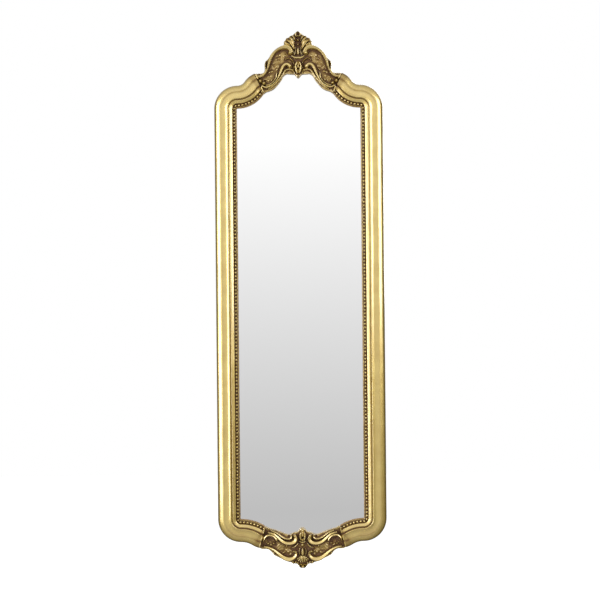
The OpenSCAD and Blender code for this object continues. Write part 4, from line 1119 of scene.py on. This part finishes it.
class PierMirrorStage(bpy.types.PropertyGroup):
    """Camera, floor and light"""
    lens: bpy.props.FloatProperty(name="Lens", description="Focal length of the camera", default=120.0,
                                  min=50.0, max=300.0, subtype="DISTANCE_CAMERA")
    roll: bpy.props.FloatProperty(name="Roll", description="Tilt of the camera about its own axis",
                                  default=math.radians(0.54), subtype="ANGLE")
    floor_drop: bpy.props.FloatProperty(
        name="Floor drop", description="Distance from the mirror's tip to the floor", default=0.3, min=0.0,
        max=1.0, unit="LENGTH")
    lamp_power: bpy.props.FloatProperty(name="Lamp power", description="Power of each square metre of lamp",
                                        default=15.0, min=0.0, max=100.0, subtype="POWER")


# ---- Pieces ----

def rail_section():
    """The rail's section, and for its points the wax everywhere, a faint painted shade line at the roll's
    foot, the darkening low on the frame and the painted shade in the creases on the bends
    """
    section = np.vstack([
        [(0, 0), (0, 7), (0, 14)],
        # roll: steep outer side, then a long shoulder that flattens out to a small step
        [(0.1, 19.4), (0.5, 21.9), (1.0, 23.6), (1.7, 25.1), (2.5, 26.4), (3.4, 27.55), (4.2, 28.25),
         (5, 28.7), (6, 29.1), (7.5, 29.62), (9, 30.1), (10, 30.38), (11, 30.62), (12, 30.82), (13, 30.97),
         (14, 31.08), (15, 31.14), (15.8, 31.12), (16.6, 31.04), (17.6, 30.94)],
        # band: flat, a hollow slope up to its inner edge, and a slanting fall into the quirk
        [(19, 30.9), (21.5, 30.88), (23.2, 30.9), (24.8, 30.96), (26.2, 31.06), (27.5, 31.23), (28.6, 31.46),
         (29.6, 31.72), (30.5, 31.94), (31.2, 32.02), (31.8, 31.97), (32.4, 31.72), (33.0, 31.3),
         (33.5, 30.7), (34.0, 29.7), (34.4, 28.7), (34.8, 28.1), (35.2, 28.0)],
        # torus: quick rise, then it leans in towards the glass
        [(35.6, 28.3), (36.1, 28.62), (36.8, 28.75), (37.6, 28.66), (38.6, 28.4), (39.8, 28.04), (41, 27.7),
         (42.2, 27.37), (43.2, 27.1), (43.9, 26.6), (44.2, 25.7), (44.1, 24.4), (43.6, 22.4)],
        # channel for the beads, lip beside the glass, and rebate
        [(CHANNEL_AT, 20.5), (CHANNEL_AT, CHANNEL_H), (LIP_AT, CHANNEL_H), (LIP_AT, 16.7),
         (LIP_AT + 0.4, 17.3), (LIP_AT + LIP_W * 0.4, 17.5), (LIP_AT + LIP_W * 0.75, 17.0), (RAIL_W, 15.9),
         (RAIL_W, REBATE_D), (RAIL_W - REBATE_W, REBATE_D), (RAIL_W - REBATE_W, 0)],
    ])
    at = section[:, 0]
    # wax on the outer side, in the quirk and in the bead channel, and at 15.6 mm a faint painted shade line
    # at the foot of the roll
    everywhere = np.interp(
        at, [0, 0.8, 3, 6, 14.6, 15.6, 17, 33.2, 34.4, 35.6, 36.5, 43.0, 43.5, 44.2, 50.5, 51, 52.2, 54],
        [0.4, 0.3, 0.15, 0, 0, 0.12, 0, 0, 0.4, 0.25, 0, 0, 0.3, 0.95, 0.95, 0.7, 0.45, 0.55])
    # darker low on the frame, over the quirk and the torus
    low = np.interp(at, [31.8, 34.2, 36, 38, 41, 43], [0, 0.2, 0.2, 0.12, 0.1, 0])
    # painted shade in the creases of the bent rails: at the foot of the roll and round the quirk
    bent = np.interp(at, [11.5, 15.2, 16.8, 21.5, 30, 33.6, 35.6, 38.5],
                     [0, 0.32, 0.32, 0, 0, 0.38, 0.38, 0])
    return section, (everywhere, low, bent)


class PIERMIRROR_OT_mouldings(bpy.types.Operator):
    """Sweep the moulded rails up both sides, one continuous run each from foot to crest"""
    bl_idname = "pier_mirror.mouldings"
    bl_label = "Mouldings"

    def execute(self, context):
        section, wax = rail_section()
        backs = set(range(len(section) - 4, len(section)))
        wander = context.scene.pier_mirror_sizes.wander / MM
        for name, side in SIDES.items():
            mesh = sweep(f"moulding_{name}", section, side, wax, backs, wander, 30)
            rails = ("stile", "shoulder", "lower_shoulder", "crest_return", "foot_return")
            piece(f"moulding_{name}", mesh, ["rail_gilt", "rail_wood"],
                  replaces=[f"{rail}_{name}" for rail in rails])
        return {"FINISHED"}


class PIERMIRROR_OT_beads(bpy.types.Operator):
    """Lay a row of beads and its strip in the channel on each side"""
    bl_idname = "pier_mirror.beads"
    bl_label = "Beads"

    def execute(self, context):
        sizes = context.scene.pier_mirror_sizes
        tree = bead_tree(finish("carved_gilt"))
        bead_at = CHANNEL_AT + CHANNEL_W / 2 + 0.6
        centre_h = CHANNEL_H + STRIP_T + 0.3 * sizes.bead_diameter / MM
        low, high, bevel = CHANNEL_AT + STRIP_GAP, LIP_AT - STRIP_GAP, 0.8
        strip = [(low, CHANNEL_H), (low, CHANNEL_H + 1.2), (low + bevel, CHANNEL_H + STRIP_T),
                 (high - bevel, CHANNEL_H + STRIP_T), (high, CHANNEL_H + 1.2), (high, CHANNEL_H)]
        for name, side in SIDES.items():
            points = [(side * x * MM, (BACK_Y - centre_h) * MM, z * MM) for x, z in side_line(bead_at, 40)]
            seed = bpy.data.meshes.new(f"bead_line_{name}")
            seed.from_pydata(points, [(i, i + 1) for i in range(len(points) - 1)], [])
            balls = grow(f"beads_{name}", seed, tree, {
                "Bead diameter": sizes.bead_diameter, "Pitch": sizes.bead_pitch,
                "Variation": sizes.bead_variation, "Seed": 7})
            at = np.zeros(len(balls.vertices) * 3)
            balls.vertices.foreach_get("co", at)
            # only the bead's crown, from 0.7 mm above its middle, is bare gold; below it lies wax at the
            # bead's foot and painted shade over its flanks, leaving a bright dot
            proud = BACK_Y - at.reshape(-1, 3)[:, 1] / MM - centre_h
            set_wax_and_shade(balls, np.clip(1 - (proud - 0.7) / 1.0, 0, 1))
            both = bmesh.new()
            both.from_mesh(balls)
            both.from_mesh(sweep(f"bead_bed_{name}", strip, side, ([1.0] * len(strip), 0.0, 0.0)))
            mesh = bpy.data.meshes.new(f"bead_row_{name}")
            both.to_mesh(mesh)
            both.free()
            piece(f"bead_row_{name}", mesh, ["carved_gilt"],
                  replaces=[f"bead_strip_{name}", f"upper_bead_strip_{name}", f"lower_bead_strip_{name}"])
        return {"FINISHED"}


def inset_loop(loop, distance):
    """The loop moved inwards by the distance"""
    ahead = directions(loop)
    turn = np.sum(loop[:, 0] * np.roll(loop[:, 1], -1) - np.roll(loop[:, 0], -1) * loop[:, 1])
    return loop + np.column_stack([-ahead[:, 1], ahead[:, 0]]) * (distance if turn > 0 else -distance)


def back_plate(name, its):
    """The part of a carving's block that lies behind the glass's face, round the rebate: bare wood behind,
    chamfered and gilt on its outer side"""
    chamfer = 0.7
    ends, across, _ = rail_end(its["bend"])
    # both lines run out from the centre line, over the right half
    half = np.vstack([its["glass"], ends[0] + across * REBATE_W, ends[1], spline(its["outer"])])
    loop = np.vstack([half, (half * [-1, 1])[::-1]])
    loop = loop[np.linalg.norm(loop - np.roll(loop, 1, 0), axis=1) > 0.01]
    n = len(loop)
    levels = ((0.0, inset_loop(loop, chamfer)), (chamfer, loop), (REBATE_D, loop))
    points = [(x, BACK_Y - height, its["origin_z"] + z) for height, ring in levels for x, z in ring]
    faces = strip_faces(3, n)
    index = [0] * len(faces)
    for level in (0, 2):
        flat = flat_faces(points, level * n, n)
        faces += flat
        index += [1] * len(flat)
    return mesh_of(name, points, faces, index, wax=[0.6] * len(points), smooth_angle=30)


def carve(context, kind):
    """Make the relief and the back of the crest or the foot"""
    its = CARVINGS[kind]
    mesh = carving(f"{kind}_carving", its, context.scene.pier_mirror_sizes.carving_pitch / MM)
    nodes = [f"{part}_{name}" for part in its["pairs"] for name in SIDES]
    piece(f"{kind}_carving", mesh, ["carved_gilt"], replaces=nodes + its["singles"])
    piece(f"{kind}_back", back_plate(f"{kind}_back", its), ["carved_gilt", "block_wood"],
          replaces=[f"{kind}_block"])
    return {"FINISHED"}


class PIERMIRROR_OT_crest(bpy.types.Operator):
    """Carve the crest in relief: scrolls, palmette, beads, bellflower and rough shell-work between"""
    bl_idname = "pier_mirror.crest"
    bl_label = "Crest"

    def execute(self, context):
        return carve(context, "crest")


class PIERMIRROR_OT_foot(bpy.types.Operator):
    """Carve the foot in relief: two pairs of scrolls, husk, teardrop, ribbed fan and trefoil"""
    bl_idname = "pier_mirror.foot"
    bl_label = "Foot"

    def execute(self, context):
        return carve(context, "foot")


class PIERMIRROR_OT_glass(bpy.types.Operator):
    """Finish the glass, its setting blocks, the backing board and the hidden dowels"""
    bl_idname = "pier_mirror.glass"
    bl_label = "Glass and board"

    def execute(self, context):
        dress("mirror_glass", "glass")
        dress("glass_blocks", "cork")
        dress("backing_board", "board")
        for node in ("stile_dowels", "crest_dowels", "foot_dowels"):
            dress(node, "beech")
        return {"FINISHED"}


# Hanging hardware
HANGER_X, BUTTON_X = OUTER_X - 25.0, OUTER_X - 33.0
WIRE_D, RING_W, RING_LEG, RING_BEND, RING_LEAN = 3.0, 22.0, 7.0, 3.0, 3.0
BAR_OUT, STRAP_T, SCREW_HEAD_H = 3.05, 1.2, 1.6
HANGER_SCREWS, HANGER_SCREW_R = (-12.0, -34.0), 3.5
BUTTON_SCREWS = (83.0, -333.5, -750.0)
BUTTON_REACH, BUTTON_W, BUTTON_T, BUTTON_GAP, PIVOT_D = 24.0, 12.0, 1.6, 0.3, 4.0
BUMPER_X, BUMPERS, BUMPER_R, BUMPER_T, BUMPER_EDGE = 177.0, (141.0, -808.0), 9.0, 8.0, 1.4


def ring_mesh(name, side):
    """D-shaped ring bent from round wire, its ends meeting in the bar"""
    half = RING_W / 2
    path = np.vstack([
        [(0.0, 0.0)], [(half - RING_BEND - 4, 0.0)],
        arc((half - RING_BEND, RING_BEND), RING_BEND, -90, 0, 10),
        arc((0, RING_BEND + RING_LEG), half, 0, 180, 36),
        arc((-half + RING_BEND, RING_BEND), RING_BEND, 180, 270, 10),
        [(-half + RING_BEND + 4, 0.0)],
    ])
    lean = math.radians(RING_LEAN)
    around = np.linspace(0, 2 * math.pi, 16, endpoint=False)
    points = []
    for (px, pz), (ahead_x, ahead_z) in zip(path, directions(path)):
        for angle in around:
            out = math.cos(angle) * WIRE_D / 2
            x, y, z = px + ahead_z * out, math.sin(angle) * WIRE_D / 2, pz - ahead_x * out
            points.append((side * HANGER_X + x, BACK_Y + BAR_OUT + y * math.cos(lean) - z * math.sin(lean),
                           y * math.sin(lean) + z * math.cos(lean)))
    return mesh_of(name, points, strip_faces(len(path), len(around), closed=True), smooth_angle=60)


def screw_head(radius, height):
    """Raised head with a straight slot, standing on the plane Y = 0 and rising along Y"""
    profile = [(0, 0), (radius, 0), (radius, height * 0.35)]
    profile += [(radius * math.cos(a), height * (0.35 + 0.65 * math.sin(a)))
                for a in np.radians([20, 40, 60, 75])]
    profile += [(0, height)]
    head = placed("screw_head", mesh_of("screw_head", *lathe(profile, (0, 0, 0), 24), smooth_angle=40))
    corners = [(x, y, z) for x in (-radius * 1.2, radius * 1.2) for y in (height / 2, height * 1.5)
               for z in (-radius * 0.17, radius * 0.17)]
    quads = [(0, 1, 3, 2), (4, 6, 7, 5), (0, 4, 5, 1), (2, 3, 7, 6), (0, 2, 6, 4), (1, 5, 7, 3)]
    saw = placed("slot_saw", mesh_of("slot_saw", corners, quads))
    cut = head.modifiers.new("slot", "BOOLEAN")
    cut.operation, cut.solver, cut.object = "DIFFERENCE", "EXACT", saw
    slotted = applied(head)
    head.modifiers.remove(cut)
    head.data = smoothed(slotted, 40)
    bpy.data.objects.remove(saw)
    return head


def screws(name, places, radius, replaces):
    """Screw heads at the places, turned out by one tree"""
    head = screw_head(radius, SCREW_HEAD_H)
    seed = bpy.data.meshes.new(name)
    seed.from_pydata([tuple(c * MM for c in p) for p in places], [], [])
    mesh = grow(name, seed, screw_tree(head, finish("zinc")), {"Turn": math.pi, "Seed": 3})
    bpy.data.objects.remove(head)
    piece(name, smoothed(mesh, 40), ["zinc"], replaces=replaces)


class PIERMIRROR_OT_hangers(bpy.types.Operator):
    """Bend the hanging rings, finish their straps and set their screws"""
    bl_idname = "pier_mirror.hangers"
    bl_label = "Hangers"

    def execute(self, context):
        for name, side in SIDES.items():
            piece(f"hanging_ring_{name}", ring_mesh(f"hanging_ring_{name}", side), ["zinc"],
                  body=f"ring_{name}", replaces=[f"hanger_ring_{name}"])
            dress(f"hanger_strap_{name}", "zinc")
        places = [(side * HANGER_X, BACK_Y + STRAP_T, z) for side in SIDES.values() for z in HANGER_SCREWS]
        screws("hanger_screw_heads", places, HANGER_SCREW_R, ["hanger_screws"])
        return {"FINISHED"}


def button_mesh(name, side, z):
    """Brass blade with round ends, bevelled edges and a hole for its pivot screw"""
    x = side * BUTTON_X
    tip = x - side * BUTTON_REACH
    half = BUTTON_W / 2
    right, left = (-90, 90), (90, 270)
    outer, inner = (right, left) if side > 0 else (left, right)
    ends = np.vstack([arc((x, z), half, *outer, 18), arc((tip, z), half, *inner, 18)])
    hole = arc((x, z), PIVOT_D / 2 + 0.2, 0, 360, 24)[:-1]
    shell = bmesh.new()
    rings = []
    for loop in (ends, hole):
        made = [shell.verts.new((px * MM, (BACK_Y + BUTTON_GAP) * MM, pz * MM)) for px, pz in loop]
        rings += [shell.edges.new((made[i], made[(i + 1) % len(made)])) for i in range(len(made))]
    bmesh.ops.triangle_fill(shell, use_beauty=True, use_dissolve=False, edges=rings, normal=(0, -1, 0))
    bmesh.ops.dissolve_limit(shell, angle_limit=0.01, verts=shell.verts, edges=shell.edges)
    grown = bmesh.ops.extrude_face_region(shell, geom=list(shell.faces))
    lifted = [e for e in grown["geom"] if isinstance(e, bmesh.types.BMVert)]
    bmesh.ops.translate(shell, verts=lifted, vec=(0, BUTTON_T * MM, 0))
    bmesh.ops.recalc_face_normals(shell, faces=shell.faces)
    rim = [e for e in shell.edges if len(e.link_faces) == 2 and e.calc_face_angle(0) > 1.2]
    bmesh.ops.bevel(shell, geom=rim, offset=0.35 * MM, segments=3, affect="EDGES", profile=0.6)
    mesh = bpy.data.meshes.new(name)
    shell.to_mesh(mesh)
    shell.free()
    return smoothed(mesh, 35)


class PIERMIRROR_OT_buttons(bpy.types.Operator):
    """Stamp the brass turn buttons and set their pivot screws"""
    bl_idname = "pier_mirror.buttons"
    bl_label = "Turn buttons"

    def execute(self, context):
        for name, side in SIDES.items():
            for i, z in enumerate(BUTTON_SCREWS, 1):
                piece(f"button_blade_{name}_{i}", button_mesh(f"button_blade_{name}_{i}", side, z), ["brass"],
                      body=f"button_{name}_{i}", replaces=[f"turn_button_{name}_{i}"])
        over = BACK_Y + 2 * BUTTON_GAP + BUTTON_T
        places = [(side * BUTTON_X, over, z) for side in SIDES.values() for z in BUTTON_SCREWS]
        screws("button_screw_heads", places, PIVOT_D, ["turn_button_screws"])
        return {"FINISHED"}


class PIERMIRROR_OT_bumpers(bpy.types.Operator):
    """Mould the four rubber bumpers, with a rounded face towards the wall"""
    bl_idname = "pier_mirror.bumpers"
    bl_label = "Wall bumpers"

    def execute(self, context):
        radius, thick, edge = BUMPER_R, BUMPER_T, BUMPER_EDGE
        profile = [(0, 0), (radius, 0), (radius, thick - edge)]
        profile += [(radius - edge + edge * math.cos(a), thick - edge + edge * math.sin(a))
                    for a in np.radians([22, 45, 68, 90])]
        profile += [(2.6, thick), (2.2, thick - 1.2), (0, thick - 1.2)]
        points, faces = [], []
        for centre in [(side * BUMPER_X, BACK_Y, z) for side in SIDES.values() for z in BUMPERS]:
            more_points, more_faces = lathe(profile, centre, 40)
            faces += [tuple(len(points) + i for i in face) for face in more_faces]
            points += more_points
        piece("bumper_pads", mesh_of("bumper_pads", points, faces, smooth_angle=40), ["rubber"],
              replaces=["wall_bumpers"])
        return {"FINISHED"}


class PIERMIRROR_OT_stage(bpy.types.Operator):
    """Set the camera, the pale floor, the lamps and the sky"""
    bl_idname = "pier_mirror.stage"
    bl_label = "Stage"

    def execute(self, context):
        scene = context.scene
        stage = scene.pier_mirror_stage
        self.camera(scene, stage)
        self.floor(stage)
        self.light(stage)
        self.sky(scene)
        scene.view_settings.view_transform = "Standard"
        return {"FINISHED"}

    def camera(self, scene, stage):
        """Level with the middle of the photograph, which shows 1451 mm of the object's plane across it"""
        view_width, (x, y, z) = 1.4514, (-0.0008, -0.03, -0.3012)
        data = bpy.data.cameras.new("camera")
        data.lens = stage.lens
        data.clip_end = 50
        camera = placed("camera", data)
        camera.location = (x, y - view_width * stage.lens / data.sensor_width, z)
        camera.rotation_euler = (math.radians(90), stage.roll, 0)
        scene.camera = camera

    def floor(self, stage):
        """Pale floor that the camera sees white, less the object's shadow"""
        low, size = CAD_BOX[0][2] - stage.floor_drop, 6.0
        mesh = bpy.data.meshes.new("floor")
        mesh.from_pydata([(-size, -size, low), (size, -size, low), (size, size, low), (-size, size, low)],
                         [], [(0, 1, 2, 3)])
        floor = placed("floor", mesh)
        floor.visible_glossy = False
        material, tree, shader = start_material("painted_floor")
        fill(tree, shader, {"Base Color": (*linear("#F1F1F0"), 1), "Roughness": 0.9})
        path = add_node(tree, "ShaderNodeLightPath").outputs
        white = add_node(tree, "ShaderNodeMath", {0: path["Is Camera Ray"], 1: 0.82}, operation="MULTIPLY")
        glow = add_node(tree, "ShaderNodeEmission", {"Color": (1, 1, 1, 1), "Strength": white})
        both = add_node(tree, "ShaderNodeAddShader", {0: shader.outputs[0], 1: glow.outputs[0]})
        output = next(n for n in tree.nodes if n.type == "OUTPUT_MATERIAL")
        fill(tree, output, {0: both.outputs[0]})
        mesh.materials.append(material)

    def light(self, stage):
        """A tall soft lamp at the left, a shorter and higher one at the right, and one behind for the back"""
        # name, turn from straight ahead in degrees, distance, height, width and height, share of the power
        lamps = (
            ("lamp_left", -37, 2.4, -0.1, (0.9, 1.9), 1.0),
            ("lamp_right", 34, 2.4, 0.3, (0.9, 1.36), 1.0),
            ("lamp_back", 160, 2.8, 0.6, (1.8, 1.8), 1.1),
        )
        for name, turn, reach, height, size, share in lamps:
            data = bpy.data.lights.new(name, "AREA")
            data.shape, data.size, data.size_y = "RECTANGLE", *size
            data.energy = stage.lamp_power * share * size[0] * size[1]
            lamp = placed(name, data)
            way = Vector((math.sin(math.radians(turn)), -math.cos(math.radians(turn)), 0))
            lamp.location = way * reach + Vector((0, 0, height))
            lamp.rotation_euler = (-way).to_track_quat("-Z", "Y").to_euler()
            lamp.visible_camera = False

    def sky(self, scene):
        """White to the camera, plain grey light all round, and for gloss a room that is bright ahead of the
        mirror, dimmer to the sides, most at the right, and darker towards the floor"""
        world = bpy.data.worlds.new("studio")
        scene.world = world
        world.use_nodes = True
        tree = world.node_tree
        tree.nodes.clear()
        where = add_node(tree, "ShaderNodeTexCoord").outputs["Generated"]
        x, y, z = add_node(tree, "ShaderNodeSeparateXYZ", {0: where}).outputs
        rise = add_node(tree, "ShaderNodeMapRange", {
            "Value": z, "From Min": -0.105, "From Max": 0.0775, "To Min": 0.758, "To Max": 1.017})
        rise = add_node(tree, "ShaderNodeMath", {0: rise, 1: 2.25}, operation="POWER")
        ahead = add_node(tree, "ShaderNodeMapRange", {
            "Value": y, "From Min": -0.98, "From Max": -0.35, "To Min": 1.0, "To Max": 0.25,
        }, interpolation_type="SMOOTHSTEP")
        side = add_node(tree, "ShaderNodeMapRange", {
            "Value": x, "From Min": 0.08, "From Max": 0.5, "To Min": 1.0, "To Max": 0.35})
        above = add_node(tree, "ShaderNodeMapRange", {
            "Value": z, "From Min": 0.1, "From Max": 0.5, "To Min": 0.0, "To Max": 0.6,
        }, interpolation_type="SMOOTHSTEP")
        room = add_node(tree, "ShaderNodeMath", {0: rise, 1: ahead}, operation="MULTIPLY")
        room = add_node(tree, "ShaderNodeMath", {0: room, 1: side}, operation="MULTIPLY")
        room = add_node(tree, "ShaderNodeMath", {0: room, 1: above}, operation="MAXIMUM")
        path = add_node(tree, "ShaderNodeLightPath").outputs
        level = add_node(tree, "ShaderNodeMix", {0: path["Is Glossy Ray"], 2: 0.28, 3: room},
                         data_type="FLOAT")
        clear = add_node(tree, "ShaderNodeMath", {0: path["Is Camera Ray"], 1: path["Is Transmission Ray"]},
                         operation="MAXIMUM")
        seen = add_node(tree, "ShaderNodeMix", {0: clear, 2: level, 3: 1.0}, data_type="FLOAT")
        back = add_node(tree, "ShaderNodeBackground", {"Color": (1, 1, 1, 1), "Strength": seen})
        add_node(tree, "ShaderNodeOutputWorld", {0: back})


class PIERMIRROR_PT_panel(bpy.types.Panel):
    """Lists the settings and the steps"""
    bl_label = "Pier Mirror"
    bl_idname = "PIERMIRROR_PT_panel"
    bl_space_type = "VIEW_3D"
    bl_region_type = "UI"
    bl_category = "Pier Mirror"

    def draw(self, context):
        for group in (context.scene.pier_mirror_sizes, context.scene.pier_mirror_colours,
                      context.scene.pier_mirror_stage):
            box = self.layout.box()
            for key in own_keys(group):
                box.prop(group, key)
        for step in STEPS:
            self.layout.operator(step.bl_idname)


STEPS = (PIERMIRROR_OT_stage, PIERMIRROR_OT_mouldings, PIERMIRROR_OT_beads, PIERMIRROR_OT_crest,
         PIERMIRROR_OT_foot, PIERMIRROR_OT_glass, PIERMIRROR_OT_hangers, PIERMIRROR_OT_buttons,
         PIERMIRROR_OT_bumpers)
GROUPS = {"pier_mirror_colours": PierMirrorColours, "pier_mirror_sizes": PierMirrorSizes,
          "pier_mirror_stage": PierMirrorStage}


def register():
    for kind in (*GROUPS.values(), *STEPS, PIERMIRROR_PT_panel):
        bpy.utils.register_class(kind)
    for key, group in GROUPS.items():
        setattr(bpy.types.Scene, key, bpy.props.PointerProperty(type=group))


def unregister():
    for key in GROUPS:
        delattr(bpy.types.Scene, key)
    for kind in reversed((*GROUPS.values(), *STEPS, PIERMIRROR_PT_panel)):
        bpy.utils.unregister_class(kind)


def main():
    """Make every piece in order"""
    register()
    for step in STEPS:
        family, action = step.bl_idname.split(".")
        getattr(getattr(bpy.ops, family), action)()


if __name__ == "__main__":
    main()
